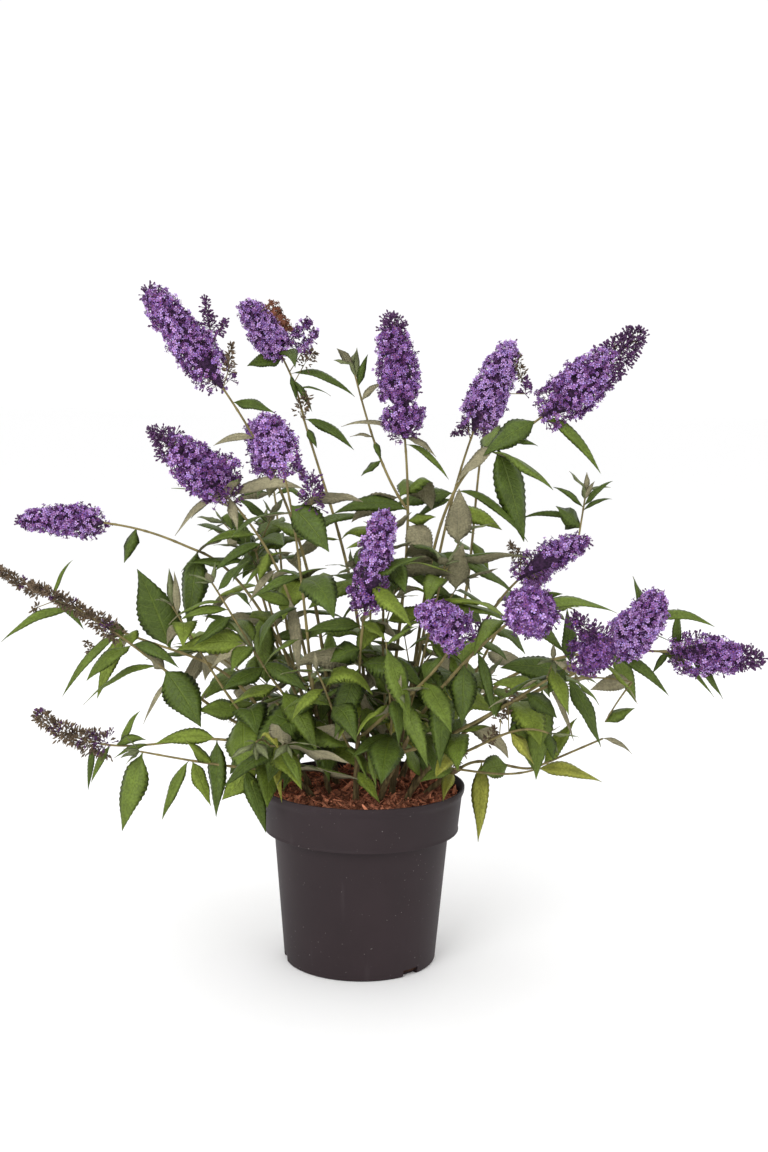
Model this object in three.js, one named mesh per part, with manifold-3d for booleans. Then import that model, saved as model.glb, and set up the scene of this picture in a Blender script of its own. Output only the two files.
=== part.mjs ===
// A butterfly bush in its nursery pot: canes that rise from bark mulch, and the leafy and
// flowering shoots that they carry. Millimetres, +Z up, origin at the centre of the pot's underside.
import * as THREE from "three";
import { mergeVertices } from "three/addons/utils/BufferGeometryUtils.js";
import Module from "manifold-3d";

const wasm = await Module();
wasm.setup();

// ---- Driving dimensions -------------------------------------------------------------------

const GAP = 0.3; // what touching pieces keep between them
const SLEEVE = 1.25; // gaps to a cane, which its facets narrow
const WELD = 2e-3; // vertices of a fused solid nearer than this become one
const FLATNESS = 0.1; // faces of a fused solid that lie this flat become one

const POT = {
  height: 200,
  lipRadius: 115, // the widest point, at the top
  lipHeight: 9, // the flared lip above the collar
  collarTopRadius: 112.2,
  collarFootRadius: 108.3,
  collarHeight: 50,
  wallTopRadius: 98,
  baseRadius: 85,
  baseBevel: 2.5,
  wall: 2,
  floor: 3,
  segments: 36,
};
const DRAIN = { count: 3, width: 21, height: 8, depth: 14, firstBearing: -48 };
const SOIL = { surface: 188, flatRadius: 78, edgeDrop: 3 };

const CANE = {
  rootRadius: 4.6,
  tipRadius: 2.7,
  flare: 1.7,
  flareShare: 0.1,
  sides: 5,
  steps: 4,
  upright: 0.16, // share of its span that it sets out upright
  leansAt: 0.55, // share of its span where it leans over,
  arch: 0.05, // and how far it arches there
};
const STEM = { tipRadius: 1.1, thickening: 0.0042, mostRadius: 2.5, sides: 3, steps: 5 };
// How a stem sets off, straight on from a cane's tip or at an angle from its side, for what
// share of the way to its own tip, and how it lines up with its flower head.
const SET_OFF = { onward: 0.4, aside: 0.3, sideAngle: 40, pastNeck: 1.5 };
const TWIG = {
  radius: 1.2,
  tipRadius: 0.7,
  angle: 42, // from its shoot's stem, in degrees
  shortest: 36,
  longest: 64,
  steps: 1,
  rise: 0.12, // share of its length by which its tip bends up
  pairsAt: [0.55, 0.97], // shares of its length that carry a pair of leaves
  probesAt: [0.35, 0.5, 0.65, 0.8, 1], // shares of it that have to be free
};

const LEAF = {
  longest: 100, // low on a shoot
  shortest: 50, // under its tip
  slimness: 0.35, // width for each unit of length
  thickness: 0.016, // likewise
  widestAt: 0.42, // share of its length
  bendsAt: 0.45, // likewise, where its midrib turns down
  lift: 34, // degrees above square to the stem
  droop: [0.5, 1.6, 0.8], // of a young leaf, of an old one, and what chance adds
  roll: 0.7, // radians that chance turns it about its midrib, from side to side
  turn: 0.3, // radians that chance turns a pair about the stem
  sizeSpread: 0.28, // what chance makes of its length
  firstNode: 22, // from the cane to the first pair
  lastNode: 6, // from the last pair to the tip of a leafy shoot
  closing: 0.4, // how much nearer the pairs are at the tip
  apart: 0.4, // the share past which it touches no other leaf of its shoot
};
// What differs between a shoot that flowers and one that doesn't.
const FLOWERING = { internode: 60, branching: 0.1 };
const LEAFY = { internode: 34, branching: 0.3 };
const INTERNODE_SPREAD = 0.3;
const FLOWER = {
  sides: 7,
  steps: 6,
  twist: 25, // degrees from ring to ring
  whorl: 0.08, // how far every other ring stands out
  taper: 0.35, // how much slimmer the tip is than its swell gives
  slimmest: 0.12,
  stemShare: 0.3, // how far the stem runs on inside it
};

const CLEARANCE = { leaf: 3, stem: 1.6, step: 6, root: 0.12, pot: 4, cell: 14 };

// Each cane: bearing and distance of its root from the pot's axis, then bearing, reach and
// height of its tip. Bearings are in degrees from +X towards +Y.
const CANES = {
  cane_left_back: { root: [150, 34], tip: [152, 46, 300] },
  cane_back_middle: { root: [72, 26], tip: [90, 38, 310] },
  cane_centre: { root: [8, 22], tip: [12, 34, 316] },
  cane_right: { root: [-28, 38], tip: [-22, 55, 306] },
  cane_right_back: { root: [38, 46], tip: [40, 72, 296] },
  cane_left: { root: [-160, 40], tip: [-152, 60, 296] },
  cane_low_left: { root: [178, 58], tip: [-179, 96, 256] },
  cane_lowest_left: { root: [-152, 62], tip: [-158, 100, 230] },
  cane_front: { root: [-98, 44], tip: [-93, 72, 280] },
  cane_front_right: { root: [-64, 48], tip: [-61, 100, 270] },
  cane_right_front: { root: [-36, 62], tip: [-38, 118, 258] },
  cane_far_right: { root: [6, 56], tip: [0, 100, 262] },
  cane_low_right: { root: [-12, 72], tip: [-10, 112, 224] },
  cane_back: { root: [92, 52], tip: [88, 90, 262] },
  cane_back_left: { root: [128, 56], tip: [129, 102, 260] },
  cane_back_right: { root: [50, 70], tip: [48, 114, 258] },
};

// Each shoot: its cane, the share of the cane's length where it leaves, and the bearing, reach and
// height of its tip. A flowering one has the place where its head begins, and the head's width,
// and a leafy one how far its stem bows up.
const SHOOTS = {
  upper_left: { cane: "left_back", at: 1, tip: [173, 243, 746], neck: [163, 163, 645], width: 52 },
  upper_middle_left: { cane: "back_middle", at: 1, tip: [155, 150, 732], neck: [133, 143, 686], width: 46 },
  upper_middle: { cane: "centre", at: 1, tip: [37, 30, 719], neck: [32, 53, 587], width: 51 },
  upper_middle_right: { cane: "right_back", at: 1, tip: [34, 197, 691], neck: [42, 157, 593], width: 50 },
  upper_right: { cane: "right", at: 1, tip: [-4, 297, 711], neck: [0, 198, 618], width: 54 },
  high_left: { cane: "left", at: 1, tip: [-157, 240, 597], neck: [-154, 158, 537], width: 52 },
  middle_left: { cane: "left", at: 0.86, tip: [-117, 213, 608], neck: [-117, 159, 559], width: 47 },
  far_left: { cane: "left_back", at: 0.74, tip: [170, 402, 487], neck: [169, 304, 492], width: 38 },
  far_left_spent: { cane: "low_left", at: 1, tip: [177, 424, 439], neck: [178, 270, 350], width: 20 },
  left_spent: { cane: "low_left", at: 0.84, tip: [-170, 362, 418], neck: [-169, 265, 368], width: 23 },
  low_left_spent: { cane: "lowest_left", at: 1, tip: [-174, 359, 276], neck: [-173, 293, 249], width: 30 },
  centre: { cane: "front", at: 1, tip: [-81, 132, 514], neck: [-90, 108, 411], width: 43 },
  front_middle: { cane: "front", at: 0.82, tip: [-77, 253, 430], neck: [-60, 238, 415], width: 44 },
  front_right: { cane: "front_right", at: 1, tip: [-63, 338, 443], neck: [-52, 288, 454], width: 52 },
  right_high: { cane: "far_right", at: 0.82, tip: [0, 243, 476], neck: [4, 162, 446], width: 42 },
  front_right_low: { cane: "front_right", at: 0.8, tip: [-49, 343, 395], neck: [-39, 306, 395], width: 45 },
  right_front: { cane: "right_front", at: 1, tip: [-29, 338, 438], neck: [-23, 302, 370], width: 50 },
  far_right: { cane: "far_right", at: 1, tip: [-6, 434, 355], neck: [-4, 337, 358], width: 52 },
  back_tall: { cane: "back_right", at: 1, tip: [52, 271, 678], neck: [56, 229, 596], width: 42 },
  back_right: { cane: "back_right", at: 0.84, tip: [41, 328, 441], neck: [43, 253, 420], width: 34 },
  back: { cane: "back", at: 1, tip: [87, 250, 459], neck: [89, 196, 378], width: 40 },
  back_left: { cane: "back_left", at: 1, tip: [127, 236, 592], neck: [126, 176, 540], width: 40 },
  back_far_left: { cane: "back_left", at: 0.84, tip: [137, 296, 554], neck: [135, 225, 515], width: 40 },

  tall_leafy: { cane: "back_middle", at: 0.84, tip: [106, 66, 676], bow: 0.02 },
  right_leafy: { cane: "right_back", at: 0.8, tip: [14, 262, 532], bow: 0.08 },
  left_leafy: { cane: "low_left", at: 0.66, tip: [-171, 196, 448], bow: 0.04 },
  left_young: { cane: "left", at: 0.7, tip: [-158, 190, 462], bow: 0.04 },
  left_hanging: { cane: "lowest_left", at: 0.8, tip: [-165, 268, 222], bow: 0.16 },
  front_left: { cane: "lowest_left", at: 0.6, tip: [-128, 176, 276], bow: 0.2 },
  front_short: { cane: "front", at: 0.6, tip: [-108, 150, 352], bow: 0.12 },
  front_right_leafy: { cane: "right_front", at: 0.82, tip: [-44, 262, 300], bow: 0.2 },
  front_low: { cane: "front_right", at: 0.62, tip: [-76, 158, 334], bow: 0.14 },
  low_right: { cane: "low_right", at: 1, tip: [-9, 262, 262], bow: 0.04 },
  right_hanging: { cane: "right_front", at: 0.6, tip: [-24, 232, 262], bow: 0.16 },
  inner_left: { cane: "left_back", at: 0.56, tip: [168, 128, 466], bow: 0.04 },
  inner_right: { cane: "right", at: 0.7, tip: [-44, 118, 456], bow: 0.04 },
  inner_middle: { cane: "centre", at: 0.62, tip: [-70, 66, 486], bow: 0.08 },
  back_low: { cane: "back", at: 0.58, tip: [98, 206, 286], bow: 0.18 },
  back_left_leafy: { cane: "back_left", at: 0.76, tip: [148, 234, 330], bow: 0.14 },
  back_left_low: { cane: "back_left", at: 0.52, tip: [118, 206, 258], bow: 0.16 },
  back_right_leafy: { cane: "back_right", at: 0.76, tip: [32, 300, 300], bow: 0.14 },
  back_right_low: { cane: "back_right", at: 0.54, tip: [66, 214, 276], bow: 0.16 },
};

// ---- Small helpers ------------------------------------------------------------------------

const UP = new THREE.Vector3(0, 0, 1);
const RIGHT = new THREE.Vector3(1, 0, 0);
const radians = THREE.MathUtils.degToRad;
const lerp = THREE.MathUtils.lerp;

// A direction that leans from one unit vector towards another, square to it, by some degrees.
function slanting(from, towards, degrees) {
  const angle = radians(degrees);
  return from.clone().multiplyScalar(Math.cos(angle)).addScaledVector(towards, Math.sin(angle));
}

// A point by its bearing and distance from the pot's axis, and its height.
const polar = (bearing, reach, height) =>
  new THREE.Vector3(reach * Math.cos(radians(bearing)), reach * Math.sin(radians(bearing)), height);

// A factor about 1, which chance takes up or down by half the spread.
const about = (random, spread) => 1 + spread * (random() - 0.5);

// A repeatable stream of numbers from 0 to 1.
function seeded(seed) {
  let state = seed;
  return () => {
    state = (Math.imul(state, 1664525) + 1013904223) >>> 0;
    return state / 2 ** 32;
  };
}

function solidOf(geometry, weld = 1e-4) {
  geometry.deleteAttribute("normal");
  geometry.deleteAttribute("uv");
  const merged = mergeVertices(geometry, weld);
  const mesh = new wasm.Mesh({
    numProp: 3,
    vertProperties: new Float32Array(merged.attributes.position.array),
    triVerts: new Uint32Array(merged.index.array),
  });
  return new wasm.Manifold(mesh);
}

function geometryOf(solid) {
  const mesh = solid.getMesh();
  return new THREE.BufferGeometry()
    .setAttribute("position", new THREE.BufferAttribute(mesh.vertProperties, 3))
    .setIndex(new THREE.BufferAttribute(mesh.triVerts, 1));
}

function indexed(points, faces) {
  return new THREE.BufferGeometry().setFromPoints(points).setIndex(faces.flat());
}

// The outer shell of a fused solid, with near vertices welded: no loose scrap, no sealed hollow.
function outerShell(solid) {
  const biggest = (whole) => whole.decompose().sort((a, b) => b.volume() - a.volume())[0];
  return biggest(solidOf(geometryOf(biggest(solid)), WELD).setTolerance(FLATNESS));
}

// ---- Limbs: closed tubes of changing radius along a curve -----------------------------------

// radiusAt(share, side) gives the radius at a share of the stretch, for each side in turn.
function limb(curve, from, to, { steps, sides, twist = 0 }, radiusAt) {
  const points = [];
  const faces = [];
  const normal = new THREE.Vector3();
  for (let i = 0; i <= steps; i++) {
    const at = lerp(from, to, i / steps);
    const centre = curve.getPointAt(at);
    const tangent = curve.getTangentAt(at);
    if (i === 0) normal.crossVectors(tangent, Math.abs(tangent.z) > 0.9 ? RIGHT : UP);
    normal.addScaledVector(tangent, -normal.dot(tangent)).normalize();
    for (let side = 0; side < sides; side++) {
      const turn = (side / sides) * 2 * Math.PI + radians(twist) * i;
      const outward = normal.clone().applyAxisAngle(tangent, turn);
      points.push(centre.clone().addScaledVector(outward, radiusAt(i / steps, side)));
    }
  }
  const ring = (i, side) => i * sides + (side % sides);
  for (let i = 0; i < steps; i++)
    for (let side = 0; side < sides; side++) {
      faces.push([ring(i, side), ring(i, side + 1), ring(i + 1, side)]);
      faces.push([ring(i, side + 1), ring(i + 1, side + 1), ring(i + 1, side)]);
    }
  for (let side = 1; side < sides - 1; side++) {
    faces.push([ring(0, 0), ring(0, side + 1), ring(0, side)]);
    faces.push([ring(steps, 0), ring(steps, side), ring(steps, side + 1)]);
  }
  return solidOf(indexed(points, faces));
}

// ---- Pot and soil -------------------------------------------------------------------------

function lathe(profile, segments) {
  const points = profile.map(([radius, height]) => new THREE.Vector2(radius, height));
  return solidOf(new THREE.LatheGeometry(points, segments).rotateX(Math.PI / 2));
}

const collarFoot = POT.height - POT.collarHeight;
const lipFoot = POT.height - POT.lipHeight;

function potSolid() {
  const { wall, floor } = POT;
  const outside = [
    [0, 0],
    [POT.baseRadius - POT.baseBevel, 0],
    [POT.baseRadius, POT.baseBevel],
    [POT.wallTopRadius, collarFoot],
    [POT.collarFootRadius, collarFoot],
    [POT.collarTopRadius, lipFoot],
    [POT.lipRadius, lipFoot + wall],
    [POT.lipRadius, POT.height],
  ];
  const inside = [
    [POT.lipRadius - wall, POT.height],
    [POT.collarTopRadius - wall, lipFoot],
    [POT.collarFootRadius - wall, collarFoot + wall],
    [POT.wallTopRadius - wall, collarFoot + wall],
    [POT.baseRadius - wall, floor],
    [0, floor],
  ];
  let pot = lathe([...outside, ...inside], POT.segments);
  for (let i = 0; i < DRAIN.count; i++) {
    const bearing = DRAIN.firstBearing + (360 / DRAIN.count) * i;
    const cutter = new THREE.BoxGeometry(DRAIN.depth, DRAIN.width, 2 * DRAIN.height);
    cutter.translate(POT.baseRadius, 0, 0).rotateZ(radians(bearing));
    pot = pot.subtract(solidOf(cutter));
  }
  return pot;
}

function soilSolid() {
  const inset = POT.wall + GAP;
  const ledge = collarFoot + inset;
  const edge = SOIL.surface - SOIL.edgeDrop;
  const rise = (edge - collarFoot) / (lipFoot - collarFoot);
  const edgeRadius = lerp(POT.collarFootRadius, POT.collarTopRadius, rise) - inset;
  return lathe(
    [
      [0, POT.floor + GAP],
      [POT.baseRadius - inset - GAP, POT.floor + GAP],
      [POT.wallTopRadius - inset - GAP, ledge],
      [POT.collarFootRadius - inset, ledge],
      [edgeRadius, edge],
      [lerp(edgeRadius, SOIL.flatRadius, 0.35), SOIL.surface + 1],
      [SOIL.flatRadius, SOIL.surface],
      [0, SOIL.surface],
    ],
    POT.segments,
  );
}

// True where a leaf would touch the pot's collar or lie in the mulch.
function hitsPot(point) {
  const reach = Math.hypot(point.x, point.y);
  const { pot } = CLEARANCE;
  const inMouth = reach < POT.lipRadius - POT.wall - pot && point.z > SOIL.surface + pot;
  return point.z < POT.height + pot && reach < POT.lipRadius + pot && !inMouth;
}

// ---- The space that is already taken --------------------------------------------------------

// Spheres on a grid of cells, each with the name of the cane or shoot that owns it.
const taken = new Map();
const cellsRound = function* ({ x, y, z }, radius) {
  const cell = (value) => Math.floor(value / CLEARANCE.cell);
  for (let i = cell(x - radius); i <= cell(x + radius); i++)
    for (let j = cell(y - radius); j <= cell(y + radius); j++)
      for (let k = cell(z - radius); k <= cell(z + radius); k++) yield `${i},${j},${k}`;
};

function take(point, radius, owner) {
  for (const key of cellsRound(point, radius)) {
    if (!taken.has(key)) taken.set(key, []);
    taken.get(key).push({ point, radius, owner });
  }
}

function isFree(point, radius, owners) {
  for (const key of cellsRound(point, radius))
    for (const other of taken.get(key) ?? [])
      if (!owners.includes(other.owner) && other.point.distanceTo(point) < radius + other.radius)
        return false;
  return true;
}

function takeAlong(curve, from, to, radiusAt, owner) {
  const count = Math.ceil((curve.getLength() * (to - from)) / CLEARANCE.step);
  for (let i = 0; i <= count; i++)
    take(curve.getPointAt(lerp(from, to, i / count)), radiusAt(i / count), owner);
}

// ---- Canes --------------------------------------------------------------------------------

const caneRadius = (share) =>
  lerp(CANE.rootRadius, CANE.tipRadius, share) *
  lerp(CANE.flare, 1, Math.min(1, share / CANE.flareShare));

// A cane leaves the mulch upright, so that its cut foot lies flat on it, and soon leans out.
function caneCurve({ root, tip }) {
  const foot = polar(...root, SOIL.surface + GAP);
  const top = polar(...tip);
  const span = foot.distanceTo(top);
  const upright = foot.clone().addScaledVector(UP, CANE.upright * span);
  const leaning = foot.clone().lerp(top, CANE.leansAt).addScaledVector(UP, CANE.arch * span);
  return new THREE.CubicBezierCurve3(foot, upright, leaning, top);
}

const caneSolid = (curve) => limb(curve, 0, 1, CANE, caneRadius);

// ---- Shoots -------------------------------------------------------------------------------

// The name under which a shoot's leaves and flower head take space, apart from its stem.
const crownOf = (name) => `${name} crown`;

// The stem carries on from its cane's tip, or leaves its cane's side at an angle, on the side
// where its own tip lies, and bends over towards that tip.
function shootCurve({ cane, at, tip, neck, bow }) {
  const parent = caneCurves[`cane_${cane}`];
  const start = parent.getPointAt(at);
  const onward = parent.getTangentAt(at);
  const end = polar(...tip);
  const span = start.distanceTo(end);
  const first = start.clone();
  if (at === 1) {
    start.addScaledVector(onward, GAP);
    first.addScaledVector(onward, SET_OFF.onward * span);
  } else {
    const away = end.clone().sub(start).projectOnPlane(onward).normalize();
    const angle = radians(SET_OFF.sideAngle);
    first.addScaledVector(onward, SET_OFF.aside * Math.cos(angle) * span);
    first.addScaledVector(away, SET_OFF.aside * Math.sin(angle) * span);
  }
  const second = neck
    ? end.clone().lerp(polar(...neck), SET_OFF.pastNeck)
    : first.clone().lerp(end, 0.5).addScaledVector(UP, bow * span);
  return new THREE.CubicBezierCurve3(start, first, second, end);
}

// A leaf's midrib, its side direction and its half width at each share of its length.
function leafFrame(root, outward, stemward, length, droop, roll) {
  const first = slanting(outward, stemward, LEAF.lift);
  const last = first.clone().addScaledVector(UP, -droop).normalize();
  const bend = root.clone().addScaledVector(first, LEAF.bendsAt * length);
  const tip = bend.clone().addScaledVector(last, (1 - LEAF.bendsAt) * length);
  const along = tip.clone().sub(root).normalize();
  const side = new THREE.Vector3().crossVectors(along, UP);
  if (side.length() < 0.2) side.crossVectors(along, outward);
  side.normalize().applyAxisAngle(along, roll);
  const face = new THREE.Vector3().crossVectors(side, along);
  return { rib: new THREE.QuadraticBezierCurve3(root, bend, tip), side, face, length };
}

const leafHalfWidth = (length, share) =>
  0.5 * LEAF.slimness * length * Math.sin(Math.PI * share ** 0.8) ** 0.9;

// Points spread over a leaf's blade, clear of its root, with the share of its length of each.
function leafPoints({ rib, side, length }) {
  const points = [];
  const rows = Math.ceil(length / CLEARANCE.step);
  for (let i = 1; i <= rows; i++) {
    const share = lerp(CLEARANCE.root, 1, i / rows);
    const half = leafHalfWidth(length, share);
    for (const across of [-0.9, -0.45, 0, 0.45, 0.9])
      points.push({ share, point: rib.getPoint(share).addScaledVector(side, across * half) });
  }
  return points;
}

// A leaf takes its place unless it would touch another shoot, a cane or the pot, or its outer
// part would touch its own shoot's other leaves or flower head.
function fits(leaf, name) {
  const points = leafPoints(leaf);
  for (const { point, share } of points) {
    const owners = share > LEAF.apart ? [name] : [name, crownOf(name)];
    if (hitsPot(point) || !isFree(point, CLEARANCE.leaf, owners)) return false;
  }
  points.forEach(({ point }) => take(point, CLEARANCE.leaf, crownOf(name)));
  return true;
}

// Eight faces: root, tip, two edges, and the blade's upper and lower skin between them.
function leafSolid({ rib, side, face, length }) {
  const widest = rib.getPoint(LEAF.widestAt);
  const half = leafHalfWidth(length, LEAF.widestAt);
  const thick = (LEAF.thickness * length) / 2;
  const points = [
    rib.getPoint(0),
    widest.clone().addScaledVector(side, half),
    widest.clone().addScaledVector(face, thick),
    widest.clone().addScaledVector(side, -half),
    widest.clone().addScaledVector(face, -thick),
    rib.getPoint(1),
  ];
  const faces = [];
  for (let edge = 0; edge < 4; edge++) {
    const here = 1 + edge;
    const next = 1 + ((edge + 1) % 4);
    faces.push([0, here, next], [5, next, here]);
  }
  return solidOf(indexed(points, faces));
}

// Pairs of leaves up the stem, each pair at right angles to the last, and short leafy twigs in
// the axils of some. Calls grow for each leaf and twig that has room.
function growShoot(name, shoot, grow) {
  const random = seeded(shoot.seed);
  const { curve, length, bare } = shoot;
  let along = LEAF.firstNode;
  let turn = radians(360 * random());
  for (let pair = 0; along < bare; pair++) {
    const share = along / length;
    const ripeness = 1 - along / bare;
    const root = curve.getPointAt(share);
    const stemward = curve.getTangentAt(share);
    const base = new THREE.Vector3().crossVectors(stemward, UP).normalize();
    turn += Math.PI / 2 + LEAF.turn * (random() - 0.5);
    for (const half of [0, Math.PI]) {
      const outward = base.clone().applyAxisAngle(stemward, turn + half);
      const middling = lerp(LEAF.shortest, LEAF.longest, ripeness ** 0.6);
      const leafLength = middling * about(random, LEAF.sizeSpread);
      const droop = lerp(LEAF.droop[0], LEAF.droop[1], ripeness) + LEAF.droop[2] * random();
      const roll = LEAF.roll * (random() - 0.5);
      const leaf = leafFrame(root, outward, stemward, leafLength, droop, roll);
      if (fits(leaf, name)) grow.leaf(leaf);
      const twigLength = lerp(TWIG.shortest, TWIG.longest, random());
      if (random() < shoot.branching) growTwig(name, root, outward, stemward, twigLength, random, grow);
    }
    along += shoot.internode * (1 - LEAF.closing * (1 - ripeness)) * about(random, INTERNODE_SPREAD);
  }
}

function growTwig(name, root, outward, stemward, length, random, grow) {
  const heading = slanting(stemward, outward, TWIG.angle);
  const halfway = root.clone().addScaledVector(heading, length / 2);
  const tip = root.clone().addScaledVector(heading, length).addScaledVector(UP, TWIG.rise * length);
  const curve = new THREE.QuadraticBezierCurve3(root, halfway, tip);
  const probes = TWIG.probesAt.map((share) => curve.getPoint(share));
  const owners = [name, crownOf(name)];
  if (probes.some((point) => hitsPot(point) || !isFree(point, CLEARANCE.leaf, owners))) return;
  probes.forEach((point) => take(point, CLEARANCE.leaf, name));
  grow.twig(curve);
  const across = new THREE.Vector3().crossVectors(heading, UP).normalize();
  for (const share of TWIG.pairsAt)
    for (const half of [0, Math.PI]) {
      const spread = across.clone().applyAxisAngle(heading, half + 1.6 * share + 0.5 * random());
      const size = LEAF.shortest * (1.1 - 0.35 * share) * about(random, INTERNODE_SPREAD);
      const droop = 0.2 + 0.5 * random();
      const leaf = leafFrame(curve.getPoint(share), spread, heading, size, droop, random() - 0.5);
      if (fits(leaf, name)) grow.leaf(leaf);
    }
}

// A flower head swells quickly from its foot and tapers to a blunt tip.
const flowerSwell = (share) => Math.sin(Math.PI * Math.min(1, share * 0.9 + 0.12)) ** 0.62;

function flowerSolid({ curve, length, bare, width }) {
  return limb(curve, bare / length, 1, FLOWER, (share) => {
    const ring = Math.round(share * FLOWER.steps);
    const whorl = 1 + (ring % 2 ? FLOWER.whorl : -FLOWER.whorl);
    const swell = flowerSwell(share) * (1 - FLOWER.taper * share ** 2);
    return 0.5 * width * Math.max(FLOWER.slimmest, swell) * whorl;
  });
}

const stemRadius = (length) => (share) =>
  Math.min(STEM.mostRadius, STEM.tipRadius + STEM.thickening * length * (1 - share));

function shootSolid(name, shoot) {
  const { curve, length } = shoot;
  const end = shoot.width ? lerp(shoot.bare / length, 1, FLOWER.stemShare) : 1;
  let solid = limb(curve, 0, end, STEM, stemRadius(length));
  growShoot(name, shoot, {
    leaf: (leaf) => (solid = solid.add(leafSolid(leaf))),
    twig: (twig) => {
      const thinning = (share) => lerp(TWIG.radius, TWIG.tipRadius, share);
      solid = solid.add(limb(twig, 0, 1, { steps: TWIG.steps, sides: STEM.sides }, thinning));
    },
  });
  if (shoot.width) solid = solid.add(flowerSolid(shoot));
  if (shoot.at < 1) {
    const sleeveRadius = (share) => caneRadius(share) + SLEEVE * GAP;
    solid = solid.subtract(limb(caneCurves[`cane_${shoot.cane}`], 0, 1, CANE, sleeveRadius));
  }
  return outerShell(solid);
}

// ---- Assembly -----------------------------------------------------------------------------

const finish = (colour, roughness) =>
  new THREE.MeshStandardMaterial({ color: colour, roughness, metalness: 0 });
const MATERIALS = {
  plastic: finish(0x423a3c, 0.5),
  mulch: finish(0x6b4030, 0.95),
  bark: finish(0x8a7c58, 0.85),
  flowering: finish(0x6a5a9c, 0.8),
  leafy: finish(0x4f6f3a, 0.75),
};

const bush = new THREE.Group();
function addNode(name, solid, material) {
  const mesh = new THREE.Mesh(geometryOf(solid), material);
  mesh.name = name;
  bush.add(mesh);
}

addNode("pot", potSolid(), MATERIALS.plastic);
addNode("soil", soilSolid(), MATERIALS.mulch);

const caneCurves = {};
for (const [name, sizes] of Object.entries(CANES)) {
  const curve = caneCurve(sizes);
  caneCurves[name] = curve;
  takeAlong(curve, 0, 1, (share) => caneRadius(share) + CLEARANCE.stem, name);
  addNode(name, caneSolid(curve), MATERIALS.bark);
}

// Every stem and flower head takes its place before any leaf does.
const shoots = {};
for (const [name, sizes] of Object.entries(SHOOTS)) {
  const curve = shootCurve(sizes);
  const length = curve.getLength();
  const head = sizes.width ? polar(...sizes.tip).distanceTo(polar(...sizes.neck)) : LEAF.lastNode;
  const bare = length - head;
  const seed = 101 + 37 * Object.keys(shoots).length;
  shoots[name] = { ...sizes, ...(sizes.width ? FLOWERING : LEAFY), curve, length, bare, seed };
  const radius = stemRadius(length);
  takeAlong(curve, 0, 1, (share) => radius(share) + CLEARANCE.stem, name);
  if (sizes.width) {
    const headRadius = (share) => 0.5 * sizes.width * flowerSwell(share);
    takeAlong(curve, bare / length, 1, (share) => headRadius(share) + CLEARANCE.stem, crownOf(name));
  }
}
for (const [name, shoot] of Object.entries(shoots))
  addNode(name, shootSolid(name, shoot), shoot.width ? MATERIALS.flowering : MATERIALS.leafy);

export default bush;
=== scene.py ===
"""A butterfly bush in its nursery pot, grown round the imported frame. Metres, +Z up."""

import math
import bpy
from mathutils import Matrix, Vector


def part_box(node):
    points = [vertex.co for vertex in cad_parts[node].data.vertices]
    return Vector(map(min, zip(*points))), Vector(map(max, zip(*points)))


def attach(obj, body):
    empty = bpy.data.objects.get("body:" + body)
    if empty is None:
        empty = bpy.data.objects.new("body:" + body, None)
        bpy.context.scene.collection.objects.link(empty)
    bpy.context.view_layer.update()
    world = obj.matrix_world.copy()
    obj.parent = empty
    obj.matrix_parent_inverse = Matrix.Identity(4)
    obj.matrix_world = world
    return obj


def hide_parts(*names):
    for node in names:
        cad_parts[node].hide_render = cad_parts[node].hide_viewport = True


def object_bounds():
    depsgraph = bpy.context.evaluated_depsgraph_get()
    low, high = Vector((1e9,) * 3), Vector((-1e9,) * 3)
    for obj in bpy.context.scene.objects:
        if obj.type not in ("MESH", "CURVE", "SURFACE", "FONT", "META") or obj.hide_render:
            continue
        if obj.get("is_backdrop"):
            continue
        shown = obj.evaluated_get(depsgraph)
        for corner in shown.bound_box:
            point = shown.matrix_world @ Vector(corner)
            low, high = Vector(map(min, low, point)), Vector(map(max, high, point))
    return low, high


bl_info = {
    "name": "Potted Butterfly Bush",
    "version": (1, 0, 0),
    "blender": (4, 5, 0),
    "location": "3D View > Sidebar > Bush",
    "description": "Grows a potted butterfly bush: pot, mulch, canes, leaves and flower heads",
    "category": "Add Mesh",
}

from collections import defaultdict, namedtuple

import bmesh
import bpy
import numpy as np
from bpy.props import FloatProperty, FloatVectorProperty, IntProperty, PointerProperty
from mathutils import Matrix, Vector

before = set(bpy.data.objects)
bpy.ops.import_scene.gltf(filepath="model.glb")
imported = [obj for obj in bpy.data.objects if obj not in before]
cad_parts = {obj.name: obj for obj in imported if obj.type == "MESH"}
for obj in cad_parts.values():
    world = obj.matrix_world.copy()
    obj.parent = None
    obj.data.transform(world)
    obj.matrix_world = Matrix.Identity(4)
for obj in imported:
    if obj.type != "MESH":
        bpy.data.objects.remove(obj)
CAD_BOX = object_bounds()

MM = 0.001
UP = np.array([0.0, 0.0, 1.0])
ASKEW = (0.31, 0.95, 0.05)  # a direction that no limb runs along
GOLDEN_ANGLE = math.radians(137.508)
# Where each stream of draws starts, and how far apart those of the limbs lie.
SEEDS = {"mulch": 11, "flowers": 7, "standouts": 17, "canes": 2001, "shoots": 101}
SEED_STEP = 37

# ---- The plan of the plant, after the solids ----

SOIL_SURFACE = 188
GAP = 0.3  # between a limb and what it stands on, in millimetres

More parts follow.
